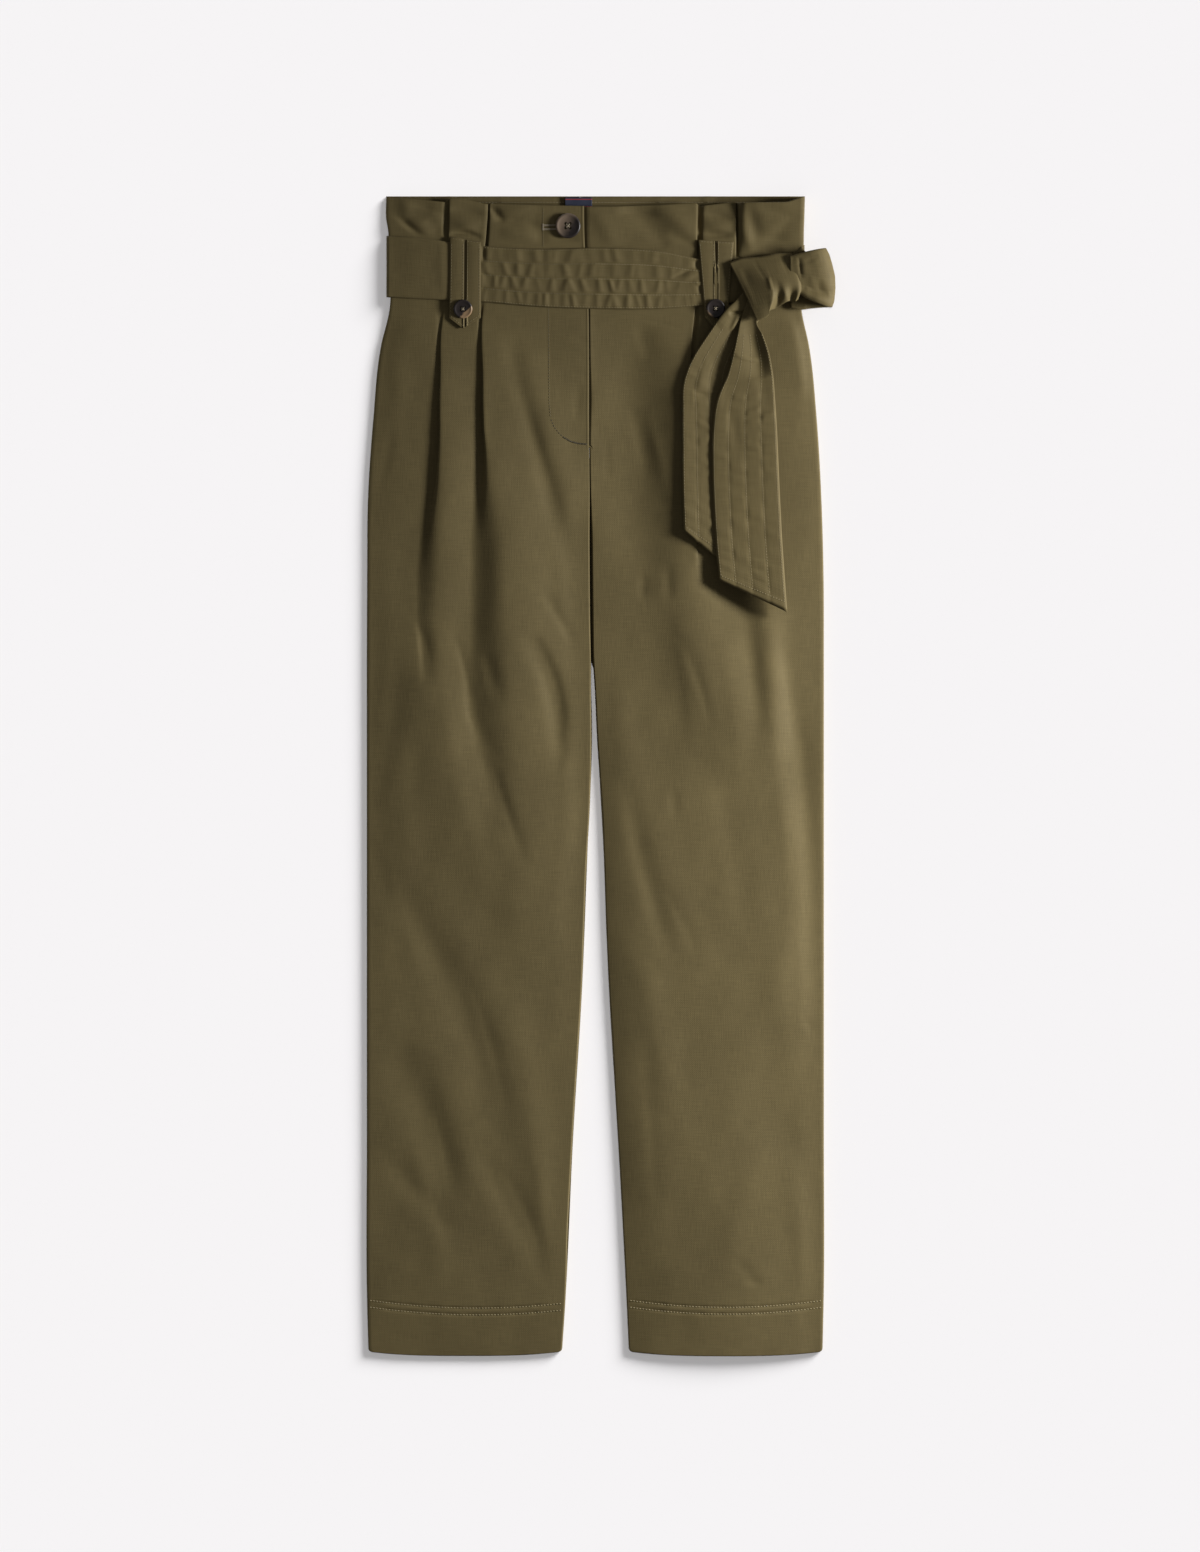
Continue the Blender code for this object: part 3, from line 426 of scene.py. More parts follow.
def wovenTape(name, look):
    # polyester tape woven in a fine rib, navy with thin red lines that run along it
    material, tree, shader = newMaterial(name)
    place = addNode(tree, "TexCoord").outputs["Object"]
    axis = addNode(tree, "SeparateXYZ", {"Vector": place})
    near = [addNode(tree, "Math", {0: axis.outputs["Y"], 1: centre * mm, 2: 0.5 * look["lineWidth"] * mm},
                    operation="COMPARE").outputs[0] for centre in look["lines"]]
    line = addNode(tree, "Math", {0: near[0], 1: near[1]}, operation="MAXIMUM")
    rib = addNode(tree, "TexWave", {"Vector": place, "Scale": 0.314 / look["ribWidth"]},
                  wave_type="BANDS", bands_direction="X")
    colour = addNode(tree, "Mix", {"Factor": line.outputs[0], "A": hexColour(look["ground"]),
                                   "B": hexColour(look["line"])}, data_type="RGBA")
    bump = addNode(tree, "Bump", {"Height": rib.outputs["Fac"], "Strength": 0.4, "Distance": 0.0002})
    feed(tree, shader, {"Base Color": colour.outputs["Result"], "Normal": bump.outputs["Normal"],
                        "Roughness": 0.7})
    return material


twill = wovenCotton("oliveCottonTwillWoven", {
    "dark": "#554A2D", "light": "#6B5E3C", "ribWidth": 0.0013, "threadWidth": 0.0008, "threadLength": 0.016,
    "cloudSize": 0.07, "bump": 0.22, "roughness": 0.72, "specular": 0.25, "sheen": 0.05})
# each thread's darker shade and the lighter one of its painted glint, length of a turn and roughness; the
# dark and muted olives are darker copies of the one thread, painted shade, and the pale olive a lighter copy,
# painted light
threadLooks = {
    "olive": ("#6A5E3D", "#9A8A60", 0.0008, 0.6), "paintedShadeOlive": ("#3A3320", "#4C432B", 0.0008, 0.6),
    "paintedLightPaleOlive": ("#7C6F4A", "#AFA076", 0.0008, 0.6), "paintedShadeMutedOlive": ("#554B2F", "#726641", 0.0008, 0.6),
    "sand": ("#A4966C", "#CFC193", 0.0008, 0.6), "khaki": ("#7A6C54", "#C4B79C", 0.0006, 0.5)}
thread = {shade: spunThread(shade + "PolyesterThreadSpun", look) for shade, look in threadLooks.items()}
print("cloth and thread made")

# the trousers' own lines, shared by the pieces
garment = {"waistY": 522.0, "hemY": -518.5, "hemBow": 3.5, "hemCorner": 4.0, "seam": 0.3, "air": 0.5,
           "backFold": 1.5, "sideFold": 1.3, "sideTall": 3.9, "pressedTall": 2.8, "innerTall": 0.7,
           "flyEnd": 298.0, "crotch": 262.0, "lap": 12.0, "lapDrop": 1.2, "floor": 1.7, "lowestFront": 2.9,
           "turnedAngles": (0, 15, 30, 45, 60, 75)}
sash = {"low": 420.0, "high": 491.0, "ramp": 22.0, "lift": 2.6, "wall": 2.2, "air": 0.6, "pressed": 7.7}

# edges and pleat lines of each front, from the waist down to the hem
rightLines = table("y outer side mid centre", [
    (522, -192.6, -136.8, -100.4, -14.4), (502, -192.6, -137.0, -100.5, -14.4),
    (491, -190.8, -137.3, -101.0, -14.2), (474, -190.2, -138.0, -102.2, -13.3),
    (462, -189.5, -138.5, -103.1, -12.6), (420, -189.5, -140.2, -106.2, -10.2),
    (388, -197.1, -143.1, -107.7, -9.9), (320, -204.3, -148.8, -111.8, -9.9),
    (254, -208.8, -153.9, -111.6, -9.6), (176, -209.7, -159.8, -106.2, -9.5),
    (108, -210.0, -162.0, -97.2, -8.7), (32, -210.0, -158.4, -88.2, -7.2),
    (-58, -210.0, -151.2, -84.6, -10.8), (-193, -210.0, -145.8, -83.7, -16.2),
    (-328, -210.0, -145.8, -84.5, -24.3), (-463, -210.0, -146.0, -86.0, -30.6),
    (-519, -208.6, -146.0, -87.0, -34.2)])
leftLines = table("y outer side mid centre", [
    (522, 184.5, 123.3, 88.7, -14.4), (502, 184.0, 123.3, 88.7, -14.4),
    (491, 183.6, 123.4, 88.5, -14.2), (474, 183.2, 123.6, 88.1, -13.3), (462, 181.6, 123.8, 87.8, -12.6),
    (420, 181.4, 124.4, 86.8, -10.2),
    (388, 188.1, 127.8, 82.5, -9.9), (320, 195.3, 133.2, 83.7, -9.9),
    (254, 199.2, 135.0, 87.3, -8.1), (176, 201.4, 135.0, 93.6, -7.4),
    (108, 201.6, 135.5, 99.0, -5.8), (32, 201.6, 140.4, 99.0, -2.3),
    (-58, 201.6, 144.5, 94.5, 2.7), (-193, 201.6, 145.5, 90.0, 8.1),
    (-328, 201.6, 145.5, 90.0, 16.2), (-463, 201.6, 145.5, 90.0, 23.4),
    (-519, 200.4, 145.5, 91.0, 26.0)])
seatLine = table("y x", [(522, -18.0), (420, -14.0), (300, -9.8), (270, -9.3)])

# height of the front, depth of the two pleats on each side and rise of the strip between them
relief = table("y level side mid strip", [
    (522, 6.7, 2.6, 2.8, 1.8), (506, 7.0, 2.6, 2.8, 1.8), (489, 7.7, 0.9, 1.0, 0.8), (480, 7.7, 0, 0, 0),
    (416, 7.7, 0, 0, 0), (404, 7.2, 3.4, 4.0, 1.2), (384, 6.7, 4.3, 5.0, 2.0), (340, 6.5, 4.7, 5.6, 2.6),
    (254, 6.2, 4.3, 5.6, 2.6), (176, 6.2, 3.2, 5.0, 2.2), (130, 6.2, 1.4, 3.6, 1.4), (84, 6.2, 0, 1.4, 0.3),
    (40, 6.2, 0, 0, 0), (-522, 5.6, 0, 0, 0)])
pleatHalf = {"floor": 1.2, "reach": 6.2}

mainFolds = table("x0 y0 x1 y1 bow west east height", [
    (-147, 165, -85, -150, -14, 36, 20, 4.4), (-60, 395, -44, 60, 0, 26, 22, 1.6),
    (-86, 397, -25, 181, 0, 6, 8, -1.4), (-68, 131, -34, 1, 10, 8, 8, -2.2),
    (-110, 140, -66, -85, -18, 8, 8, -2.2), (-193, -98, -84, -296, 18, 10, 12, -2.6),
    (-160, -190, -105, -400, 8, 15, 15, 1.9), (-176, -238, -126, -413, 10, 8, 9, -1.8),
    (-75, -180, -50, -420, 0, 17, 16, 1.5), (-99, -319, -45, -454, 5, 8, 8, -1.8),
    (-194, -337, -158, -436, 3, 8, 8, -1.4), (68, 402, 78, 200, 0, 32, 9, 3.0),
    (168, 390, 172, 170, 0, 16, 18, 1.6), (58, 199, 101, 37, -3, 8, 8, -2.2),
    (135, 150, 140, 37, 0, 7, 7, -2.4), (153, 150, 196, -195, 1, 13, 13, 3.6),
    (27, 1, 90, -166, -5, 8, 9, -1.8), (50, 60, 60, -120, 0, 22, 20, 1.6),
    (95, -210, 120, -410, 0, 26, 30, 2.6)])

topEdge = table("x drop", [
    (-193, .4), (-165, 3.0), (-139, 5.5), (-136, 2.4), (-126, 2.1), (-115.7, 4.2), (-102, 7.5), (-99.5, 6.8),
    (-57, 8.1), (-15, 9.0), (-13, 9.6), (20, 9.3), (54, 8.0),
    (86, 6.5), (90, 9.0), (121, 5.4), (126, 6.4), (168, 6.2), (179, 2.6), (185, .9)])
sashEdges = table("x high low", [
    (-192, 486.0, 431.1), (-162, 484.2, 429.3), (-133, 480.0, 427.9), (-107, 477.0, 426.6),
    (-54, 474.3, 422.1), (0, 475.2, 420.3), (54, 472.5, 420.3), (90, 465.3, 423.0),
    (117, 462.5, 425.7), (150, 462.0, 428.0), (186, 466.0, 430.2)])


def sashLift(y):
    # 1 where the back lies on the sash's back run, 0 away from it
    above = smooth(sash["high"] + sash["ramp"], sash["high"], y)
    return above * smooth(sash["low"] - sash["ramp"], sash["low"], y)


def layHeight(x, y):
    # top of the fronts that other pieces lie on: level + folds + strip - pleats with plain straight sides
    height = level(relief, "level", y) + foldRelief(mainFolds, x, y) * (1.0 - sashLift(y))
    for lines in (rightLines, leftLines):
        side = level(lines, "side", y)
        mid = level(lines, "mid", y)
        half = 0.5 * np.abs(side - mid)
        within = smooth(half + 4.0, half - 4.0, np.abs(x - 0.5 * (side + mid)))
        height = height + level(relief, "strip", y) * within
        for name, line in (("side", side), ("mid", mid)):
            slope = (pleatHalf["reach"] - np.abs(x - line)) / (pleatHalf["reach"] - pleatHalf["floor"])
            height = height - level(relief, name, y) * np.clip(slope, 0.0, 1.0)
    return np.maximum(height, garment["lowestFront"] + sash["lift"] * sashLift(y))


def sideTurn(y):
    # height of the turn along a side seam and of its lower end
    lift = sashLift(y)
    tall = garment["sideTall"] + (garment["pressedTall"] - garment["sideTall"]) * lift
    return tall, garment["backFold"] + garment["seam"] + sash["lift"] * lift


def turnedEdge(edge, radius, tall, end, inward, up):
    # quarter of an ellipse along an edge: x = edge + r (1 - cos a), z = end + tall sin a
    angles = np.radians(garment["turnedAngles"])
    return [(edge + inward * radius * (1.0 - math.cos(a)), end + up * tall * math.sin(a)) for a in angles]


def hemDrop(y, share):
    # the hem's middle hangs lower than its corners
    return garment["hemBow"] * smooth(-466.0, garment["hemY"], y) * (1.0 - np.abs(2.0 * share - 1.0) ** 3)


def cornerShift(y):
    # quarter round at the hem's corners: r (1 - (1 - t^2)^0.5) for the last r of the height
    t = np.clip((garment["hemY"] + garment["hemCorner"] - y) / garment["hemCorner"], 0.0, 1.0)
    return garment["hemCorner"] * 0.75 * (1.0 - np.sqrt(1.0 - t * t))


# rows and columns of the fronts, slow waves by size, width, height and start, crumples by size, width, height
# and seed, the columns where a crisp fold and an opened slope stand highest, and the reach of each rounding
fronts = {
    "rows": [(522.0, 468.0, 1.2), (468.0, 428.0, 3.0), (428.0, 380.0, 1.6), (380.0, 120.0, 2.4),
             (120.0, -440.0, 3.9), (-440.0, -468.0, 2.4), (-468.0, -490.0, 0.9), (-490.0, -514.0, 2.0),
             (-514.0, -518.5, 0.9)],
    "sideColumns": 17, "stripColumns": 9, "centreColumns": 27, "foldColumn": 12, "slopeColumn": 14,
    "slowWaves": [(0.10, 71.0, 160.0, 0.4), (0.05, 37.0, -110.0, 1.9)],
    "crumples": [(0.11, 23.0, 27.0, 5), (0.06, 11.0, 13.0, 8), (0.04, 15.0, 7.0, 9)], "creaseShare": 0.75,
    "sideRounding": 22.0, "hipTighter": 11.0, "innerRounding": 26.0, "lapRounding": 40.0}
# the left front beside the fly's edge: how it swells, and where the fly gapes and it lies deeper
lapShape = {"swell": 0.35, "swellWide": 4.0, "gapY": 338.0, "gapTall": 28.0, "gapDrop": 0.9, "reach": 1.2,
            "gapReach": 1.0, "waistReach": 1.6}
flyRim = {"rise": 0.22, "inside": 1.5, "wide": 0.55}
# where the pleats' crisp inner folds run, how far the cloth dips under each one, how high the fold stands
# above the panel, and the width of the dip
pleatLines = table("y sideRight midRight sideLeft midLeft", [
    (522, -136.8, -100.4, 123.3, 88.7), (502, -137.0, -100.5, 123.3, 88.7),
    (491, -137.3, -101.0, 123.4, 88.5), (424, -142.6, -107.4, 124.4, 86.8),
    (406, -144.0, -107.8, 126.0, 85.0), (388, -144.9, -107.8, 127.8, 83.5),
    (365, -145.0, -106.9, 129.4, 83.6), (338, -145.6, -106.7, 131.2, 84.0),
    (311, -145.6, -105.9, 132.2, 84.6), (275, -146.6, -104.6, 133.2, 86.2),
    (239, -147.0, -104.6, 133.8, 87.6), (185, -148.0, -103.0, 134.4, 90.6),
    (131, -152.0, -100.0, 135.6, 95.0), (32, -156.0, -94.0, 140.4, 99.0), (-58, -151.2, -85.0, 144.5, 94.5),
    (-193, -145.8, -83.7, 145.5, 90.0), (-519, -146.0, -87.0, 145.5, 91.0)])
rightDepth = table("y side mid sideRise midRise", [
    (522, 1.0, 1.6, 0.8, 0.6), (508, 2.2, 2.2, 1.1, 0.7), (492, 2.2, 2.6, 0.8, 0.6),
    (478, 0.7, 2.2, 0.3, 0.4), (464, 0, 0, 0, 0), (432, 0, 0, 0, 0), (424, 0.4, 0.4, 0.2, 0.2),
    (404, 0.6, 0.7, 0.7, 0.9), (388, 0.7, 0.9, 1.4, 2.0), (365, 0.7, 0.9, 2.2, 2.9),
    (338, 0.7, 0.9, 3.0, 3.7), (311, 0.7, 0.9, 4.0, 4.4), (275, 0.5, 0.7, 4.8, 5.6),
    (239, 0.2, 0.3, 4.7, 6.4), (212, 0, 0.1, 4.3, 6.7), (185, 0, 0, 3.6, 6.5), (158, 0, 0, 2.5, 6.3),
    (131, 0, 0, 1.2, 5.6), (104, 0, 0, 0.4, 4.3), (77, 0, 0, 0, 2.5), (50, 0, 0, 0, 1.3), (20, 0, 0, 0, 0.5),
    (-10, 0, 0, 0, 0), (-522, 0, 0, 0, 0)])
leftDepth = table("y side mid sideRise midRise", [
    (522, 2.2, 2.2, 1.2, 1.2), (506, 2.6, 2.6, 1.4, 1.4), (474, 2.8, 2.8, 1.0, 1.0), (464, 0, 0, 0, 0),
    (432, 0, 0, 0, 0), (424, 2.0, 1.6, 0.4, 0.3), (404, 2.6, 2.2, 0.6, 0.5), (340, 2.6, 2.4, 0.6, 0.6),
    (254, 2.4, 2.4, 0.5, 0.6), (215, 1.4, 1.2, 0.3, 0.2), (190, 0.4, 0.3, 0, 0), (165, 0, 0, 0, 0),
    (-522, 0, 0, 0, 0)])
pleatWidth = table("y sideRight midRight sideLeft midLeft", [
    (522, 6.5, 0.8, 1.6, 6.0), (504, 6.5, 1.0, 1.6, 5.4), (480, 6.0, 2.2, 1.6, 5.0),
    (424, 2.2, 2.2, 4.0, 4.0), (388, 3.6, 3.6, 5.0, 5.0), (340, 6.0, 6.0, 7.0, 8.0),
    (254, 9.0, 9.0, 11.0, 12.0), (-522, 9.0, 9.0, 8.0, 9.0)])
# one pleat's section where it is crisp: even step, share of the dip's width, offset in mm, share of the depth
# and of the rise; and where it has opened into a slope: share of the slope's width and of its rise
pleatShape = table("step flank offset drop rise along lift", [
    (-9.0, -1.0, 0, 0, 0, -0.28, 0), (-7.6, -0.84, 0, 0.08, 0, -0.23, 0), (-6.2, -0.68, 0, 0.25, 0, -0.18, 0),
    (-4.8, -0.53, 0, 0.48, 0, -0.13, 0), (-3.4, -0.38, 0, 0.7, 0, -0.09, 0),
    (-2.0, -0.22, 0, 0.89, 0, -0.045, 0), (-0.7, -0.06, 0.2, 1.0, 0, 0, 0), (0.5, 0, 1.3, 1.0, 0, 0.1, 0.05),
    (1.5, 0, 1.85, 0.86, 0.14, 0.2, 0.16), (2.4, 0, 1.45, 0.55, 0.45, 0.31, 0.31),
    (3.3, 0, 0.95, 0.25, 0.75, 0.42, 0.47), (4.4, 0, 1.1, 0.07, 0.93, 0.55, 0.65),
    (5.8, 0, 2.1, 0, 1, 0.7, 0.83), (7.3, 0, 4.2, 0, 1, 0.85, 0.95), (9.0, 0, 8.0, 0, 1, 1, 1)])
# where the right front's pleats open: foot of each slope, its width, and how far it is open
pleatOpen = {
    "sideRight": table("y foot wide open", [
        (522, -152, 20, 0), (311, -155, 20, 0), (275, -158, 19, 0.2), (239, -163, 20, 0.6),
        (212, -164.5, 19.5, 0.85), (185, -165, 19, 1), (131, -165, 15, 1), (32, -162, 15, 1),
        (-522, -155, 15, 1)]),
    "midRight": table("y foot wide open", [
        (522, -114, 27, 0), (311, -115, 27, 0), (275, -116, 27, 0.35), (239, -116.5, 27, 0.8),
        (212, -116.5, 28, 1), (131, -116.5, 31, 1), (77, -117, 34, 1), (-522, -110, 34, 1)])}
pleatReach = {"side": 50.0, "mid": 62.0}

# the legs' broad forms: ridges, and hollows where the height is negative
legForms = table("x0 y0 x1 y1 bow west east height", [
    (-150, 175, -98, -125, -14, 42, 22, 3.9), (-60, 395, -44, 60, 0, 26, 22, 1.4),
    (-84, 400, -28, 190, 0, 8, 9, -1.5), (-72, 385, -20, 190, 1, 9, 20, 1.6),
    (-66, 131, -36, 5, 9, 8, 8, -2.0), (-82, 150, -68, -190, 0, 26, 44, 3.2),
    (-124, 125, -70, -85, -8, 7, 9, -0.8), (-200, -85, -92, -318, 17, 14, 15, -1.2),
    (-180, -60, -70, -290, 20, 22, 26, 0.8), (-192, -228, -132, -390, 8, 17, 18, -1.2),
    (-165, -222, -108, -398, 8, 17, 21, 1.0), (-118, -322, -42, -456, 0, 10, 12, -0.9),
    (-80, -190, -50, -410, 0, 17, 16, 1.0), (-205, -333, -128, -420, 3, 9, 11, -0.9),
    (80, 412, 86, 160, 0, 26, 13, 4.6), (27, 424, 35, 180, -2, 32, 24, -3.2),
    (186, 418, 190, 335, 0, 34, 10, 2.4), (66, 216, 124, -10, 0, 30, 40, 5.0),
    (133, 152, 146, 32, 0, 9, 10, -1.6), (148, 172, 158, 5, 0, 18, 14, 3.6),
    (86, 190, 148, 144, 0, 12, 12, -1.8), (20, 8, 66, -165, -4, 9, 11, -1.5)])
# the left leg's tilt: it rises from the inner seam over one stretch, and falls to the side seam over another
leftTilt = table("y base up start stop down from to", [
    (120, 0, 0, 30, 100, 0, 150, 180), (60, 1.0, 0, 28, 100, 2.0, 152, 182),
    (10, 2.2, 0, 20, 90, 4.2, 156, 186), (-20, 2.8, 0, 10, 80, 4.8, 159, 191),
    (-50, 3.2, 0, 4, 70, 5.2, 163, 196), (-90, 3.4, 0, 0, 50, 5.0, 166, 202),
    (-130, 3.6, 0, 4, 50, 4.6, 166, 206), (-170, 3.8, 0, 8, 55, 4.0, 162, 208),
    (-210, 3.8, 0, 10, 60, 3.2, 140, 210), (-260, 3.8, 0, 12, 70, 3.2, 100, 194),
    (-310, 3.8, 0.2, 15, 80, 3.4, 112, 172), (-360, 3.6, 1.0, 18, 100, 3.6, 124, 188),
    (-410, 2.6, 2.4, 20, 120, 4.2, 115, 203), (-450, 2.6, 2.6, 22, 130, 4.4, 110, 203),
    (-522, 2.4, 2.6, 24, 140, 4.2, 110, 203)])
# finer creases of the legs, each placed and sized on its own
creases = table("x0 y0 x1 y1 bow west east height", [
    (-67, 329, -23, 194, 2, 4, 6, -0.5), (-26, 394, -11, 393, 0, 1.5, 2, -0.4),
    (-28, 380, -13, 378, 0, 1.5, 2, -0.35), (-31, 366, -12, 360, 1, 2, 3, -0.35),
    (-20, 356, -21, 318, 0, 4, 4, -0.7), (-187, 325, -205, 246, 3, 6, 5, -0.9),
    (-200, 420, -176, 330, 0, 9, 12, 0.7), (-60, 126, -33, 38, 7, 3, 5, -0.9),
    (-52, 166, -21, 114, 1, 4, 6, -1.0), (-121, 88, -108, 26, -2, 4, 7, -0.7),
    (-163, 140, -158, 84, 1, 3, 8, -1.3), (-132, 130, -116, 62, 2, 2.5, 4, -0.6),
    (-104, 112, -92, 66, 0, 3, 6, -1.2), (-96, 10, -67, -78, -1, 4, 6, -0.9),
    (-185, 150, -196, -20, 4, 9, 12, -0.8), (-182, 60, -172, -120, 0, 12, 10, 0.6),
    (-40, 250, -30, 120, 0, 9, 12, 0.8), (-30, 60, -22, -110, 0, 9, 10, 0.7),
    (-118, -182, -84, -302, 3, 4, 8, -0.6), (-205, -40, -150, -240, 4, 9, 12, 0.6),
    (-175, -300, -140, -470, 2, 9, 10, 0.6), (-65, -300, -40, -460, 0, 8, 9, 0.6),
    (-88, -352, -50, -430, 1, 4, 7, -0.5), (-150, -300, -132, -378, 2, 5, 8, -0.5),
    (33, 410.6, 74, 402.4, 1, 1.3, 2.4, -0.9), (33, 412, 45, 372, 0, 5, 9, -0.9),
    (27, 334, 42, 266, 2, 5, 9, -1.0), (42, 330, 62, 250, 0, 4, 6, 0.6), (5, 305, 7, 262, 0, 1.6, 2, -0.45),
    (39, 184, 38, 156, 0, 3, 4, -0.9), (61, 192, 61, 156, 0, 3, 5, -1.0), (70, 128, 100, 42, 3, 3, 6, -0.6),
    (66, -10, 67, -38, 0, 4, 5, -0.7), (121, -435, 144, -459, 0, 4, 6, -0.45),
    (130, -456, 147, -456, 0, 2.5, 3, -0.5), (183, -218, 199, -236, 0, 3, 4, -0.8),
    (14, 120, 24, -60, 0, 9, 12, 0.8), (70, 150, 84, 20, 2, 6, 9, 0.7), (112, 130, 128, -20, 2, 9, 12, 0.9),
    (162, 130, 176, 20, 1, 4, 8, -0.8), (100, 20, 132, -150, 4, 10, 14, -0.7),
    (54, -95, 88, -164, 2, 4, 7, -0.55), (30, -150, 70, -330, 4, 12, 14, 0.8),
    (150, -120, 176, -330, 3, 14, 12, 0.8), (170, -330, 186, -470, 0, 9, 10, 0.6),
    (40, -240, 52, -400, 0, 6, 9, -0.6), (196, 120, 198, -100, 0, 5, 6, -0.6),
    (186, 340, 196, 200, 0, 6, 7, 0.8)])
# creases of the paperbag edge above the sash
waistCreases = table("x0 y0 x1 y1 bow west east height", [
    (-188, 508, -158, 484.5, -1, 2.2, 3.4, -2.2), (-170, 513, -140, 507, 1, 3.0, 5.0, -1.2),
    (-182, 521, -172, 502, 1, 5, 6, 0.9), (-156, 501, -141, 484, 0, 6, 8, -1.3),
    (-174, 500, -146, 493, 0, 4, 5, 1.0), (-136, 510, -104, 505, 1, 3.2, 4.4, -1.2),
    (-134, 500, -106, 497, -1, 4, 5, 1.0), (-136, 487, -106, 482.8, 3.4, 1.5, 2.4, -2.2),
    (-131, 492, -110, 490.5, 2, 3, 4, 1.0), (-100, 514, -87, 498, 0, 2.4, 3.4, -2.2),
    (-98, 501, -56, 496, 1, 3.4, 4.4, -1.2), (-92, 508, -58, 512, -1, 4, 5, 1.0),
    (-90, 489, -56, 484, 0, 4, 6, 1.0), (-64, 504, -48, 480, 0, 6, 8, -1.2),
    (-46, 486, -18, 483, 0, 3.4, 5, -0.9), (-8, 512, 14, 476, 1, 7, 10, 1.2),
    (20, 514, 62, 478, 3, 9, 12, -2.2), (50, 514, 86, 484, 2, 8, 10, 1.6), (62, 487, 90, 477, 0, 4, 5, -1.6),
    (16, 508, 52, 505, 1, 4, 5, -0.9), (88, 489, 120, 487, -1, 2.6, 3.4, -2.0),
    (92, 506, 121, 500, 1, 3.4, 4.4, -1.2), (94, 497, 118, 492, 0, 4, 5, 1.0),
    (127, 499, 136, 470, 0, 3.5, 5, 1.6), (131, 520, 142, 480, 0, 5, 6, -1.7),
    (140, 511, 184, 500, 1, 4, 6, -0.9), (180, 506, 144, 475, 1, 5, 8, -1.0),
    (138, 487, 180, 479, 0, 4, 5, -0.9), (-150, 518, -147, 492, 0, 5, 4, 0.7)])
waistLean = {"start": 462.0, "end": 520.0, "rise": 8.5}
hemRows = {"right": (-209.7, -471.6, -126.0, -478.8, -31.5, -474.3),
           "left": (24.3, -471.6, 126.0, -477.9, 203.4, -471.6), "apart": 6.1, "groove": 0.5,
           "grooveWidth": 1.2}
flyStitch = {"line": [(-46.4, 424), (-46.2, 400), (-45.9, 362), (-45.6, 336), (-44.4, 322), (-41.4, 314.4),
                      (-36.4, 308.0), (-28.7, 301.8), (-20.0, 299.3), (-10.6, 298.4)], "groove": 0.15,
             "grooveWidth": 1.4, "upper": [(-51.3, 512.0), (-51.3, 474.0)],
             "tack": [(-33.0, 305.0), (-26.0, 301.0), (-19.0, 299.2), (-11.4, 298.6)]}

innerTurn = {"start": 262.0, "end": 205.0, "tight": 0.7}
# the left front's close columns: from the fly's edge, and from the inner edge below it
flyColumns = ((2.6, 2.4), (1.8, 2.1), (1.3, 1.8), (1.0, 1.5), (0.75, 1.2), (0.5, 0.9), (0.2, 0.7),
              (-0.6, 0.5), (-3.5, 0.25))
rightColumns = (4.0, 2.8, 2.0, 1.5, 1.05, 0.7, 0.35)
# inner edges of the fronts: together down the fly, then with a narrow cleft between them to about y = 110
innerEdges = table("y right left", [
    (522, -14.4, -14.4), (491, -14.2, -14.2), (420, -10.2, -10.2), (388, -9.9, -9.9), (320, -9.9, -9.3),
    (254, -9.4, -8.5), (215, -9.2, -7.7), (176, -9.0, -7.3), (130, -8.5, -6.8), (108, -8.0, -6.5),
    (77, -8.0, -4.7), (32, -7.6, -2.6), (-30, -9.2, 1.6), (-84, -12.4, 3.8), (-138, -14.4, 5.6),
    (-193, -16.4, 8.1), (-247, -19.8, 11.5), (-301, -23.2, 14.5), (-355, -26.2, 17.8), (-409, -29.0, 20.7),
    (-463, -30.6, 23.4), (-519, -34.2, 26.0)])


def rightFly(y):
    # the right front's inner edge, on a smooth curve through its places
    return curved(innerEdges, "right", y)


def leftFly(y):
    # under the right front's edge down to the fly's end, then beside it
    lapped = rightFly(y) - garment["lap"]
    beside = np.maximum(curved(innerEdges, "left", y), rightFly(y) + garment["seam"])
    return np.where(y > garment["flyEnd"] - 1.0, lapped, beside)


def hemRowY(x, leg, row):
    # the parabola through a hem row's three places, the second row below the first
    x0, y0, x1, y1, x2, y2 = hemRows[leg]
    first = y0 * (x - x1) * (x - x2) / ((x0 - x1) * (x0 - x2))
    middle = y1 * (x - x0) * (x - x2) / ((x1 - x0) * (x1 - x2))
    last = y2 * (x - x0) * (x - x1) / ((x2 - x0) * (x2 - x1))
    return first + middle + last - row * hemRows["apart"]


def sashTop(x):
    # the sash's upper edge, straight between its places
    return np.interp(x, sashEdges["x"], sashEdges["high"])


def legTilt(x, y):
    # base + up * smooth(start, stop) - down * smooth(from, to), read from leftTilt at each height
    part = {key: curved(leftTilt, key, y) for key in leftTilt}
    rise = part["base"] + part["up"] * smooth(part["start"], part["stop"], x)
    return rise - part["down"] * smooth(part["from"], part["to"], x)


def panelLean(x, y):
    # the panel above the bow leans away from the body towards its upper edge, and a little towards the side
    up = np.clip((y - waistLean["start"]) / (waistLean["end"] - waistLean["start"]), 0.0, 1.1)
    return (waistLean["rise"] * up ** 1.3 + 0.06 * (x - 124.0) * np.sqrt(up)) * smooth(121.0, 130.0, x)


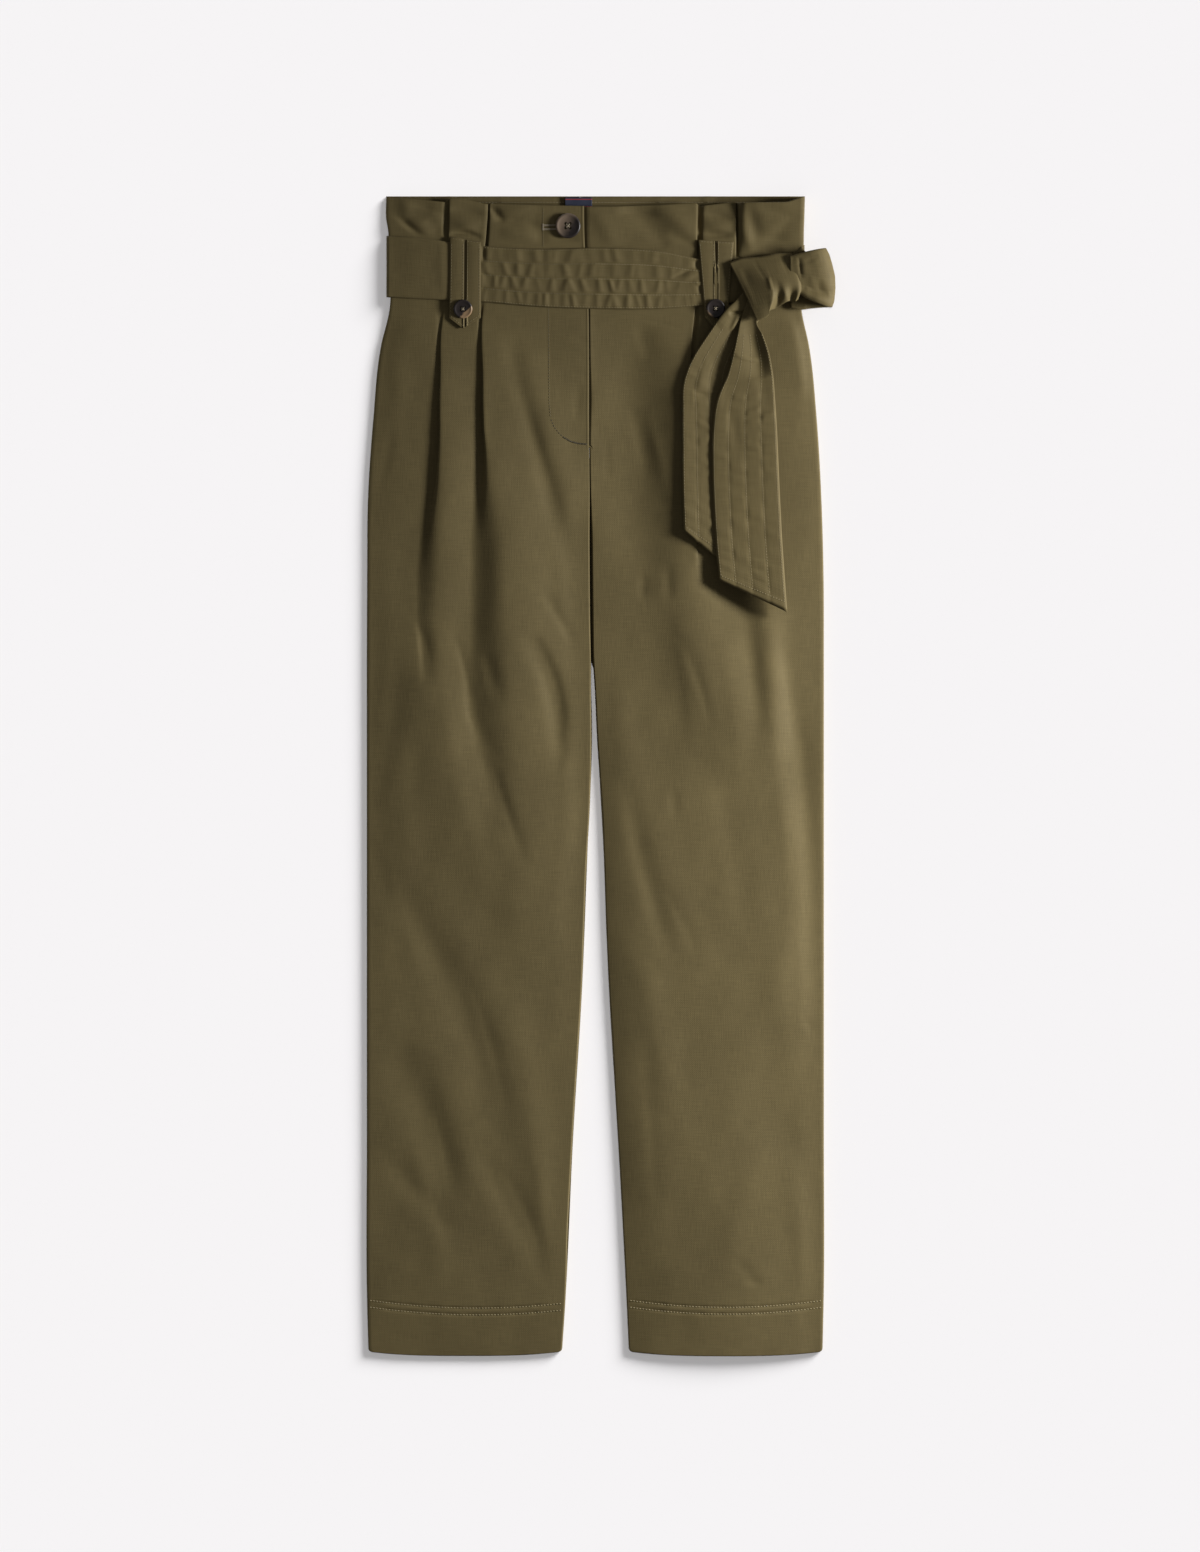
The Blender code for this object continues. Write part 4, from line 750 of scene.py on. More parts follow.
def frontTop(x, y):
    # the front's own surface: level + folds + creases + slow waves - grooves of the sewing
    free = 1.0 - sashLift(y)
    height = level(relief, "level", y)
    height = height + (foldRelief(legForms, x, y) + fronts["creaseShare"] * foldRelief(creases, x, y)) * free
    height = height + np.where(x > -12.0, legTilt(x, y), 0.0) * smooth(130.0, 100.0, y)
    height = height + foldRelief(waistCreases, x, y) * smooth(1.0, 5.0, y - sashTop(x))
    for size, wide, tall, seed in fronts["crumples"]:
        height = height + size * (0.35 + 0.65 * free) * crumple(x, y, wide, tall, seed)
    for size, wide, tall, start in fronts["slowWaves"]:
        height = height + size * free * np.sin(2.0 * math.pi * (x / wide + y / tall) + start)
    for leg, inside in (("right", x < 0.0), ("left", x >= 0.0)):
        for row in (0, 1):
            away = (y - hemRowY(x, leg, row)) / hemRows["grooveWidth"]
            pull = 1.0 + 0.5 * np.sin(x / 1.9 + row) * np.sin(x / 5.3)
            height = height - inside * pull * hemRows["groove"] * np.exp(-away ** 2)
    away = lineDistance(x, y, flyStitch["line"]) / flyStitch["grooveWidth"]
    return height - flyStitch["groove"] * np.exp(-away ** 2)


def withTurns(first, last, x, y, z, rows):
    # a panel's grid with the turned columns at both its edges, and its flat places in metres
    points = grid(np.stack([p[0] for p in first] + list(x.T) + [p[0] for p in last], axis=1),
                  np.stack([y[:, 0]] * len(first) + list(y.T) + [y[:, -1]] * len(last), axis=1),
                  np.stack([p[1] for p in first] + list(z.T) + [p[1] for p in last], axis=1))
    return points, np.stack([points[..., 0], np.broadcast_to(rows[:, None], points.shape[:2])], axis=-1) * mm


def frontPanel(lines, hand, depths, centreEdge, lapped):
    # one front: columns that follow its edges and pleats, heights from frontTop less the pleats' section
    y = bands(fronts["rows"], garment["hemY"])
    outer = curved(lines, "outer", y)
    inward = 1.0 if outer[0] < 0.0 else -1.0
    outer = outer + inward * cornerShift(y)
    centre = centreEdge(y) - inward * cornerShift(y)
    turn = smooth(innerTurn["start"], innerTurn["end"], y)
    tall, end = sideTurn(y)
    radius = garment["sideFold"]
    centreRadius = innerTurn["tight"] + (radius - innerTurn["tight"]) * turn
    centreTall = garment["innerTall"] + (garment["sideTall"] - garment["innerTall"]) * turn
    spread = 1.0 + 1.1 * smooth(150.0, -20.0, y)
    depth = {key: level(depths, key, y) for key in ("side", "mid", "sideRise", "midRise")}

    def opening(part):
        # foot, width and openness of a pleat's slope; the left front's pleats stay crisp
        rows = pleatOpen.get(part + hand)
        return [level(rows, key, y) if rows else 0.0 * y for key in ("foot", "wide", "open")]

    def pleatColumns(part):
        # line + flank * width + offset where the pleat is crisp, foot + along * wide where it has opened,
        # line + step * spread where it has ended
        line = curved(pleatLines, part + hand, y)
        width = level(pleatWidth, part + hand, y)
        foot, wide, opened = opening(part)
        deep = smooth(0.2, 1.6, depth[part] + depth[part + "Rise"])
        shape = zip(*[pleatShape[key] for key in ("step", "flank", "offset", "along")])
        return [deep * ((1.0 - opened) * (line + inward * (flank * width + offset))
                        + opened * (foot + inward * along * wide))
                + (1.0 - deep) * (line + inward * step * spread) for step, flank, offset, along in shape]

    fly = rightFly(y)
    middleEnd = centre - inward * centreRadius
    sideColumns = pleatColumns("side")
    midColumns = pleatColumns("mid")
    columns = between(outer + inward * radius, sideColumns[0], fronts["sideColumns"])
    starts = {"side": len(columns)}
    columns += sideColumns + between(sideColumns[-1], midColumns[0], fronts["stripColumns"])[1:]
    starts["mid"] = len(columns)
    if lapped:
        # close columns where the other front's edge crosses, and beside the edge below the fly
        over = y > garment["flyEnd"] - 1.0
        close = [np.where(over, fly + above, middleEnd + below) for above, below in flyColumns]
    else:
        close = [middleEnd - inside for inside in rightColumns]
    columns += midColumns + between(midColumns[-1], close[0], fronts["centreColumns"])[1:]
    x = np.stack(columns + close + [middleEnd], axis=1)

    def pleatRelief(part):
        # dips under the fold, and stands highest at the fold, from where it falls along a half wave
        opened = opening(part)[2][:, None]
        start = starts[part]
        pleat = slice(start, start + len(pleatShape["step"]))
        drop = np.zeros(x.shape[1])
        drop[pleat] = pleatShape["drop"]
        raised = np.ones((2, x.shape[1]))
        raised[:, :start] = 0.0
        raised[:, pleat] = pleatShape["rise"], pleatShape["lift"]
        raised = raised[:1] * (1.0 - opened) + raised[1:] * opened
        fold, slope = [x[:, [start + fronts[key]]] for key in ("foldColumn", "slopeColumn")]
        fall = smooth(pleatReach[part], 0.0, (x - fold * (1.0 - opened) - slope * opened) * inward)
        return depth[part + "Rise"][:, None] * raised * fall - depth[part][:, None] * drop * (1.0 - opened)

    rows, outer, centre, fly = [values[:, None] for values in (y, outer, centre, fly)]
    edgeDrop = np.interp(x, topEdge["x"], topEdge["drop"]) * smooth(496.0, garment["waistY"], rows)
    ys = rows - edgeDrop - hemDrop(rows, (x - outer) / (centre - outer))
    z = frontTop(x, ys) + pleatRelief("side") + pleatRelief("mid")
    z = np.maximum(z, garment["floor"] + sash["lift"] * sashLift(ys))
    if lapped:
        lap = smooth(garment["flyEnd"] - 8.0, garment["flyEnd"] - 1.0, rows)
        waist = smooth(sash["low"], sash["high"], rows)
        swell = lapShape["swell"] * (1.0 - waist) * np.exp(-((x - fly) / lapShape["swellWide"]) ** 2)
        gap = np.exp(-((rows - lapShape["gapY"]) / lapShape["gapTall"]) ** 2)
        reach = lapShape["reach"] + lapShape["gapReach"] * gap + lapShape["waistReach"] * waist
        drop = garment["lapDrop"] + lapShape["gapDrop"] * gap
        z = z + lap * (swell - drop * smooth(fly + reach, fly + 0.3, x))
    else:
        # a raised rim along the fly's edge, where its stitching draws it up
        rim = flyRim["rise"] * smooth(garment["flyEnd"] - 4.0, garment["flyEnd"], rows)
        z = z + rim * np.exp(-((x - fly + flyRim["inside"]) / flyRim["wide"]) ** 2)
    # the roundings towards the side seam, tighter on the left hip, and towards the inner edge
    edgeLevel = (end + tall)[:, None]
    hip = smooth(300.0, 350.0, rows) * smooth(440.0, 400.0, rows) if lapped else 0.0
    wide = fronts["sideRounding"] - fronts["hipTighter"] * hip
    z = edgeLevel + (z - edgeLevel) * smooth(0.0, 1.0, (np.abs(x - outer) - radius) / wide)
    lowLevel = garment["backFold"] + garment["seam"] + garment["sideTall"]
    inner = np.abs(x - centre) - centreRadius[:, None]
    if lapped:
        inner = 1.0 - (1.0 - np.clip(inner / fronts["lapRounding"], 0.0, 1.0)) ** 2
    else:
        inner = smooth(0.0, fronts["innerRounding"], inner)
    z = lowLevel + (z - lowLevel) * (1.0 - turn[:, None] * (1.0 - inner)) + panelLean(x, ys)
    outer, centre = outer[:, 0], centre[:, 0]
    first = turnedEdge(outer, radius, tall + panelLean(outer, ys[:, 0]), end, inward, 1.0)
    last = turnedEdge(centre, centreRadius, centreTall, z[:, -1] - centreTall, -inward, 1.0)[::-1]
    return withTurns(first, last, x, ys, z, y)


points, uv = frontPanel(rightLines, "Right", rightDepth, rightFly, False)
rightFront = clothPiece("rightFront", points, twill, "front_right", uv=uv)
points, uv = frontPanel(leftLines, "Left", leftDepth, leftFly, True)
leftFront = clothPiece("leftFront", points, twill, "front_left", uv=uv)
print("fronts laid")

backs = {"rows": [(522.0, 488.0, 1.6), (488.0, 400.0, 4.0), (400.0, 128.0, 8.0), (128.0, 80.0, 3.0),
                  (80.0, -440.0, 8.0), (-440.0, -512.0, 4.0), (-512.0, -518.5, 1.1)],
         "columns": 44, "tuck": 2.2, "touch": 112.0, "apart": 92.0}
# pleats of the back, seen inside the waist: place, depth and width
backPleats = table("x depth width", [
    (-136, 0.9, 2.2), (-88, 1.2, 1.6), (54, 1.3, 2.0), (97, 1.3, 2.4), (171, 0.9, 2.0)])
backCreases = table("x0 y0 x1 y1 bow west east height", [
    (-150, 380, -120, 120, 6, 10, 14, 0.8), (-60, 400, -70, 160, -5, 9, 12, 0.7),
    (-180, 60, -90, -180, 9, 12, 14, 0.8), (-120, -200, -80, -430, 4, 12, 12, 0.7),
    (60, 390, 76, 150, 5, 10, 12, 0.8), (140, 380, 128, 120, -4, 9, 12, 0.7),
    (50, 60, 120, -160, 6, 12, 14, 0.8), (170, 40, 150, -220, -5, 10, 12, 0.7),
    (90, -220, 110, -440, 3, 12, 12, 0.7)])


def backPanel(lines, innerEdge):
    # one back: flat on the surface but for the sash's run and soft creases, its edges turned up
    y = bands(backs["rows"], garment["hemY"])
    outer = curved(lines, "outer", y)
    inward = 1.0 if outer[0] < 0.0 else -1.0
    outer = outer + inward * cornerShift(y)
    inner = innerEdge(y) - inward * cornerShift(y)
    fold = garment["backFold"]
    lift = sash["lift"] * sashLift(y)
    end = inner - inward * fold
    x = np.stack(between(outer + inward * fold, end, backs["columns"]) + [end], axis=1)
    ys = y[:, None] - hemDrop(y[:, None], (x - outer[:, None]) / (inner - outer)[:, None])
    z = lift[:, None] + foldRelief(backCreases, x, ys) * (1.0 - sashLift(ys))
    waist = smooth(496.0, 512.0, y)[:, None]
    for place, depth, width in zip(*backPleats.values()):
        z = z + waist * depth * np.exp(-((x - place) / width) ** 2)
    first = turnedEdge(outer, fold, fold, lift + fold, inward, -1.0)
    last = turnedEdge(inner, fold, fold, lift + fold, -inward, -1.0)[::-1]
    return withTurns(first, last, x, ys, z, y)


def seatEdge(lines, side, y):
    # beside the seat seam, then under the right front's edge as far as the legs touch, then the leg's edge
    seam = level(seatLine, "x", y)
    under = rightFly(y) - backs["tuck"]
    seam = under + (seam - under) * smooth(garment["crotch"] - 10.0, garment["crotch"] + 30.0, y)
    edge = curved(lines, "centre", y)
    return edge + (seam + side * 0.5 * garment["seam"] - edge) * smooth(backs["apart"], backs["touch"], y)


points, uv = backPanel(rightLines, lambda y: seatEdge(rightLines, -1.0, y))
rightBack = clothPiece("rightBack", points, twill, "back_right", up=-1.0, uv=uv)
points, uv = backPanel(leftLines, lambda y: seatEdge(leftLines, 1.0, y))
leftBack = clothPiece("leftBack", points, twill, "back_left", up=-1.0, uv=uv)
print("backs laid")

# the quilted channels from the sash's upper edge to its lower one: how far apart their puckers are, how high
# and wide each is, and how much narrower it is at the upper row of sewing
channels = table("spacing rise wide taper", [
    (11.0, 0.62, 3.6, 0.0), (11.5, 0.62, 3.7, 0.2), (10.6, 0.74, 3.4, 0.5), (9.0, 0.7, 2.9, 0.3)])
quilting = {"puff": 0.16, "lean": 4.4, "uneven": 0.34}


def quilt(across, along, seed, size=1.0):
    # channels between five sewn rows, puff * (1 - (2 share - 1)^4) each, with puckers across them:
    # rise * exp(-(distance / width)^2), uneven in place, lean, width and height
    rows = len(channels["rise"])
    channel = np.clip(np.floor(across * rows), 0, rows - 1)
    share = np.clip(across * rows - channel, 0.0, 1.0)
    arch = 1.0 - (2.0 * share - 1.0) ** 4
    height = quilting["puff"] * arch
    chance = np.random.RandomState(seed)
    reach = float(np.max(along)) + 10.0
    for number, (spacing, rise, wide, taper) in enumerate(zip(*channels.values())):
        inside = channel == number
        count = int(reach / spacing)
        shift = chance.uniform(-quilting["uneven"], quilting["uneven"], count)
        heights = rise * chance.uniform(0.4, 1.5, count)
        leans = quilting["lean"] * chance.uniform(-1.0, 1.0, count)
        widths = wide * chance.uniform(0.75, 1.3, count)
        for place, tall, lean, width in zip((np.arange(count) + shift) * spacing, heights, leans, widths):
            away = (along - place - lean * (share - 0.5)) / (width * (1.0 - taper * (1.0 - share)))
            height = height + inside * tall * arch ** 0.7 * np.exp(-away ** 2)
    return height * size


sashFront = {"rows": 61, "step": 1.5, "near": (0.0, 1.5, 3.0, 5.0, 8.0, 11.0, 14.5, 18.0, 22.5, 27.0),
             "plainTo": -112.0, "rim": 0.55, "sideReach": 1.8, "plainRise": 0.5, "puffDrop": 0.25,
             "settle": 0.35, "calm": 0.55}
# dips of the sash beside the carriers and below the knot
sashCreases = table("x0 y0 x1 y1 bow west east height", [
    (-105.2, 479, -105.0, 461, 0, 1.5, 2.0, -1.5), (-104.4, 464, -104.4, 430, 0, 2.0, 3.4, -0.5),
    (-143, 484, -142, 430, 0, 3.4, 2.6, 0.3), (64, 447.4, 84, 456.4, 0, 1.5, 1.6, -0.9),
    (72, 446.0, 89, 452.4, 0, 2.0, 2.2, 0.6), (50, 434, 72, 442, 0, 3.5, 4.0, -0.45),
    (86.6, 464, 87.0, 455, 0, 1.8, 2.4, -1.4), (89.5, 442, 90.5, 433, 0, 1.6, 2.4, -1.2),
    (84.5, 446, 89.5, 441, 0, 1.6, 1.8, 0.5), (124, 460, 130, 430, 0, 6, 8, -0.6)])


# the back run's upper and lower edge at its two ends, its steps and how far its puckers are pressed flat
sashBack = {"high": (486.0, 478.0), "low": (431.1, 427.0), "columns": 120, "rows": 33, "puff": 0.35,
            "press": 0.5}


def sashUnder(x):
    # height at which the front run lies on the pressed fronts
    edgeLevel = garment["backFold"] + garment["seam"] + sash["lift"] + garment["pressedTall"]
    height = np.full(np.shape(x), sash["pressed"])
    for lines in (rightLines, leftLines):
        outer = level(lines, "outer", 450.0)
        height = edgeLevel + (height - edgeLevel) * smooth(0.0, 22.0, np.abs(x - outer) - garment["sideFold"])
    return height + sash["air"]


def turnedRun(first, x, z, last):
    # a run's places and heights, with the turns at both its ends
    return [np.concatenate([[p[k] for p in first], values, [p[k] for p in last]])
            for k, values in enumerate((x, z))]


def sashFrontRun():
    # the front run: flat between its two sides, then down round them; plain at first, then quilted
    reach = sashFront["sideReach"]
    out = sash["air"] + sash["wall"] - reach
    start = level(rightLines, "outer", 450.0) - out
    stop = level(leftLines, "outer", 450.0) + out
    near = np.array(sashFront["near"])
    count = int(round((stop - start - 2 * near[-1]) / sashFront["step"]))
    middle = np.linspace(start + near[-1], stop - near[-1], count)
    x = np.concatenate([start + near[:-1], middle, stop - near[-2::-1]])
    top = sashUnder(x) + sash["wall"]
    end = garment["backFold"] + garment["seam"] + sash["lift"]
    first = turnedEdge(x[0] - reach, reach, top[0] - end, end, 1.0, 1.0)
    last = turnedEdge(x[-1] + reach, reach, top[-1] - end, end, -1.0, 1.0)[::-1]
    x, z = turnedRun(first, x, top, last)
    high = through(sashEdges["x"], sashEdges["high"], x)
    low = through(sashEdges["x"], sashEdges["low"], x)
    share = np.linspace(0.0, 1.0, sashFront["rows"])[:, None]
    y = high + (low - high) * share
    flat = smooth(0.0, 5.0, z - end)
    sewn = smooth(sashFront["plainTo"], sashFront["plainTo"] + 6.0, x)
    sewn = sewn * (1.0 - sashFront["calm"] * smooth(20.0, 84.0, x))
    puffs = quilt(np.broadcast_to(share, y.shape), np.broadcast_to(x - x[0], y.shape), 11)
    puffs = puffs - sashFront["puffDrop"]
    plain = sashFront["plainRise"] * np.sin(math.pi * share) ** 0.4
    loose = 0.1 * crumple(x[None, :], y, 9.0, 6.0, 21) + 0.12 * crumple(x[None, :], y, 21.0, 17.0, 22)
    rim = sashFront["rim"] * bothEdges(share)
    dips = foldRelief(sashCreases, x[None, :], y)
    z = z + flat * (puffs * sewn + plain * (1.0 - sewn) - sashFront["settle"] - rim + loose + dips)
    return grid(x[None, :], y, z)


def sashBackRun():
    # the back run: flat on the surface, turned up at both sides
    fold = garment["backFold"]
    start = level(rightLines, "outer", 450.0) + fold
    stop = level(leftLines, "outer", 450.0) - fold
    x = np.linspace(start, stop, sashBack["columns"])
    end = sash["lift"] + fold
    first = turnedEdge(start - end, end, end, end, 1.0, -1.0)
    last = turnedEdge(stop + end, end, end, end, -1.0, -1.0)[::-1]
    x, z = turnedRun(first, x, np.zeros(len(x)), last)
    high = np.interp(x, (start, stop), sashBack["high"])
    low = np.interp(x, (start, stop), sashBack["low"])
    share = np.linspace(0.0, 1.0, sashBack["rows"])[:, None]
    y = high + (low - high) * share
    puffs = quilt(np.broadcast_to(share, y.shape), np.broadcast_to(x - x[0], y.shape), 23, sashBack["puff"])
    pressed = sashBack["press"] - np.minimum(puffs, sashBack["press"])
    return grid(x[None, :], y, z + pressed * smooth(4.0, 0.0, z))


def sashPiece(name, points, node, up=1.0):
    # a piece of the sash, whose two layers are drawn as one thick wall
    return clothPiece(name, points, twill, node, 1.7, up)


frontRun = sashPiece("sashFrontRun", sashFrontRun(), "sash_front")
backRun = sashPiece("sashBackRun", sashBackRun(), "sash_back", -1.0)
print("sash wrapped")

carrierShapes = {
    "carrierRight": {
        "node": "carrier_right", "top": (-135.0, -107.1), "low": (-135.9, -107.3), "lowY": 413.0,
        "corners": (485.2, 480.6), "slitRows": 0.86, "tip": (-123.5, 402.5),
        "slit": [(486.0, 0.9), (430.0, 0.75), (424.0, 0.6), (418.0, 0.0), (412.0, 0.0), (410.0, 0.35),
                 (405.0, 0.35)]},
    "carrierLeft": {
        "node": "carrier_left", "top": (88.4, 120.4), "low": (94.0, 115.2), "lowY": 414.5,
        "corners": (482.3, 480.4), "slitRows": 0.3, "tip": (101.5, 403.5),
        "slit": [(486.0, 1.0), (476.0, 0.9), (462.0, 0.5), (452.0, 0.0)]}}
carrierWall = {
    "wall": 0.9, "gap": 0.25, "top": 485.6, "crown": 0.25, "rows": 66, "tipRows": 14, "tipStart": 0.8,
    "topRows": 16, "easing": 1.4, "slitDepth": 1.5, "edgeDrop": 0.35, "sewnAt": 3.4, "groove": 0.12,
    "grooveWidth": 0.8, "shares": (0.0, 0.02, 0.06, 0.12, 0.2, 0.28, 0.36, 0.42, 0.46),
    "slitSteps": (-2.4, -1.5, -1.0, -0.6, 0.6, 1.0, 1.5, 2.4)}
carrierSewing = {"inside": 1.6, "tipInside": 2.4, "slitAway": 2.2}


def sashSpan(x):
    # the sash's highest upper edge and lowest lower edge over these places
    high = float(np.max(np.interp(x, sashEdges["x"], sashEdges["high"])))
    return high, float(np.min(np.interp(x, sashEdges["x"], sashEdges["low"])))


def carrierLevels(shape):
    # height of a carrier's underside: on the front, over the sash, on the front again
    x = np.linspace(shape["top"][0] - 2.0, shape["top"][1] + 2.0, 15)
    high, low = sashSpan(x)
    over = float(np.max(sashUnder(x))) + sash["wall"] + carrierWall["gap"]
    upper, lower = [float(np.max(layHeight(x[:, None], np.linspace(start, stop, 6)[None, :])))
                    for start, stop in ((492.0, high), (low, 396.0))]
    air = garment["air"]
    return table("y z", [
        (carrierWall["top"], upper + air), (min(high + 2.6, carrierWall["top"] - 1.0), over),
        (low - 1.6, over), (low - 5.5, 0.5 * (over + lower + air)), (low - 9.5, lower + air),
        (396.0, lower + air)])


def slitHalf(shape, y):
    # half the width of a carrier's slit at the heights y
    return np.interp(y, *np.array(shape["slit"][::-1]).T)


def carrierStrip(shape):
    # a folded strip whose two edges meet down its middle, cut to a point below
    y0 = carrierWall["top"]
    fall = np.linspace(0.0, 1.0, carrierWall["rows"])
    left, right = [shape["top"][side] + (shape["low"][side] - shape["top"][side]) * fall for side in (0, 1)]
    shares = np.array(carrierWall["shares"])
    middle = 0.5 * (left + right)
    y = y0 + (shape["lowY"] - y0) * fall
    half = np.maximum(slitHalf(shape, y), 0.25)
    spots = [left + (right - left) * s for s in shares]
    spots += [middle + np.sign(step) * (np.abs(step) - 0.6 + half) for step in carrierWall["slitSteps"]]
    spots += [left + (right - left) * (1.0 - s) for s in shares[::-1]]
    x = np.stack(spots, axis=1)
    y = np.broadcast_to(y[:, None], x.shape)
    # the point: rows that close on the tip
    tipX, tipY = shape["tip"]
    step = np.linspace(0.0, 1.0, carrierWall["tipRows"] + 1)[1:, None]
    wide = x[-1, -1] - x[-1, 0]
    tipShare = (tipX - x[-1, 0]) / wide
    reach = np.interp((x[-1] - x[-1, 0]) / wide, (0.0, tipShare, 1.0), (0.0, 1.0, 0.0))[None, :]
    start = carrierWall["tipStart"]
    x = np.concatenate([x, np.broadcast_to(x[-1], (len(step), x.shape[1]))])
    y = np.concatenate([y, shape["lowY"] - step * (start + (shape["lowY"] - start - tipY) * reach)])
    z = eased(carrierLevels(shape), "z", y, carrierWall["easing"]) + carrierWall["wall"]
    share = (x - x[:, :1]) / (x[:, -1:] - x[:, :1])
    high, low = shape["corners"]
    drops = [y0 - high + drop * (high - low) for drop in (0.0, 0.1, 0.75, 1.0)]
    lower = np.interp(share, (0.0, 0.25, 0.6, 1.0), drops)
    y = y - lower * np.clip(1.0 - np.arange(len(y))[:, None] / carrierWall["topRows"], 0.0, 1.0)
    z = z + carrierWall["crown"] * np.sin(2.0 * math.pi * share) ** 2
    half = slitHalf(shape, y)
    away = np.abs(x - 0.5 * (x[:, :1] + x[:, -1:]))
    z = z - carrierWall["slitDepth"] * smooth(0.0, 0.3, half) * smooth(half + 0.45, half, away)
    sewn = (away - carrierWall["sewnAt"]) / carrierWall["grooveWidth"]
    z = z - carrierWall["groove"] * np.exp(-sewn ** 2)
    rim = np.minimum(x - x[:, :1], x[:, -1:] - x)
    return grid(x, y, z - carrierWall["edgeDrop"] * smooth(1.2, 0.0, rim))


carriers = {name: clothPiece(name, carrierStrip(shape), twill, shape["node"], thickness=0.8)
            for name, shape in carrierShapes.items()}
print("carriers laid")

shortTail = table("lx ly rx ry lz rz", [
    (131.0, 437.0, 150.0, 423.0, 15.6, 13.0), (121.5, 427.0, 142.2, 408.6, 16.0, 11.6),
    (113.5, 419.4, 133.2, 394.2, 16.2, 10.2), (100.0, 401.4, 126.0, 379.8, 15.6, 9.8),
    (82.4, 374.4, 120.6, 360.0, 14.0, 10.0), (74.4, 351.9, 121.5, 342.0, 0, 0),
    (73.6, 329.4, 126.0, 324.0, 0, 0), (73.6, 293.4, 128.7, 291.6, 0, 0),
    (74.0, 257.4, 129.6, 252.0, 0, 0), (75.2, 220.5, 130.5, 176.4, 0, 0)])
longTail = table("lx ly rx ry lz rz", [
    (134.5, 434.0, 154.0, 430.0, 16.6, 17.6), (126.9, 412.0, 141.3, 410.0, 16.8, 18.6),
    (123.4, 396.0, 146.6, 396.0, 17.4, 19.4), (119.8, 380.0, 152.0, 380.0, 17.8, 19.8),
    (114.3, 360.0, 155.6, 360.0, 17.4, 19.0), (104.6, 337.0, 157.5, 337.0, 15.9, 17.6),
    (100.8, 308.0, 159.3, 308.0, 0, 0), (100.8, 266.4, 161.1, 266.4, 0, 0),
    (103.5, 212.4, 163.8, 212.4, 0, 0), (107.1, 176.4, 168.3, 147.2, 0, 0)])
shortTailFolds = table("x0 y0 x1 y1 bow west east height", [
    (132, 432, 106, 405, -1, 5, 7, 2.0), (116, 416.6, 134, 417.6, 0, 2.0, 1.0, -2.6),
    (126.4, 418, 118.4, 399.6, 0, 2.4, 2.6, 1.7), (129.4, 415, 116.4, 387.0, 0, 3.2, 3.4, -1.6),
    (84, 345, 96, 343, 0, 1.6, 1.8, -0.7), (97, 380, 84, 330, 0, 4, 6, 0.6),
    (78, 300, 90, 298, 0, 2, 2.5, -0.5), (112, 372, 100, 330, 0, 3, 5, -0.6)])
longTailFolds = table("x0 y0 x1 y1 bow west east height", [
    (134, 424, 146, 358, 0, 12.0, 7.6, -4.8), (121, 378.6, 143, 373.6, -1, 2.0, 1.6, 1.0),
    (142, 372, 150, 330, 0, 5, 6, -0.7), (110, 366, 106, 330, 0, 5, 4, 0.6),
    (118, 330, 124, 290, 0, 4, 5, -0.5)])
tails = {
    "perSection": 15, "rim": 0.35, "puff": 0.55, "clear": 0.4, "clearOfShort": 0.6,
    "short": {"columns": 38, "seed": 31, "quiltFrom": 60.0, "lift": 1.6, "lean": 0.0, "tip": 0.8},
    "long": {"columns": 41, "seed": 37, "quiltFrom": 75.0, "lift": 0.0, "lean": 2.4, "tip": 2.4}}


def restingHeight(x, y):
    # highest point of the fronts near these points
    near = (-5.0, 0.0, 5.0)
    return max(float(np.max(layHeight(x + dx, y + dy))) for dx in near for dy in near)


def aboveShortTail(x, y):
    # what the long tail rests on: the fronts' highest point near, and the short tail on it
    return restingHeight(x, y) + garment["air"] + sash["wall"] + tails["clearOfShort"]


def tailSheet(rows, below, folds, shape):
    # a flat end of the sash through its sections; a section of height 0 rests on what is below it, lifted at
    # its left edge and leaning at its right one, and the last one stands off it by the tip's height
    count = np.arange(len(rows["lx"]), dtype=float)
    coarse = np.linspace(0.0, count[-1], 6 * (len(count) - 1) + 1)
    shares = (0.0, 0.2, 0.5, 0.8, 1.0)
    spans = [(rows["l" + axis], rows["r" + axis] - rows["l" + axis]) for axis in "xy"]
    x, y = [np.array([np.interp(coarse, count, left + wide * share) for share in shares])
            for left, wide in spans]
    heights = {"lz": rows["lz"].copy(), "rz": rows["rz"].copy()}
    for number in np.flatnonzero(rows["lz"] == 0.0):
        close = np.abs(coarse - number) <= 1.0
        rest = below(x[:, close].ravel(), y[:, close].ravel())
        rest = rest + garment["air"] + sash["wall"] + tails["clear"]
        heights["lz"][number] = rest + shape["lift"]
        heights["rz"][number] = rest + shape["lean"]
    for key in heights:
        heights[key][-1] += shape["tip"]
    places = np.linspace(0.0, count[-1], tails["perSection"] * (len(count) - 1) + 1)
    part = {key: through(count, rows[key], places)[:, None] for key in ("lx", "ly", "rx", "ry")}
    part.update({key: np.interp(places, count, values)[:, None] for key, values in heights.items()})
    share = np.linspace(0.0, 1.0, shape["columns"])[None, :]
    x, y, z = [part["l" + axis] + (part["r" + axis] - part["l" + axis]) * share for axis in "xyz"]
    middle = shape["columns"] // 2
    along = np.broadcast_to(lengthAlong(np.stack([x[:, middle], y[:, middle]], axis=1))[:, None], x.shape)
    sewn = smooth(shape["quiltFrom"], shape["quiltFrom"] + 25.0, along)
    puffs = quilt(np.broadcast_to(share, x.shape), along, shape["seed"], tails["puff"])
    rim = tails["rim"] * bothEdges(share)
    return grid(x, y, z + foldRelief(folds, x, y, 0.6) + sewn * (1.5 * puffs - 0.3) - rim)


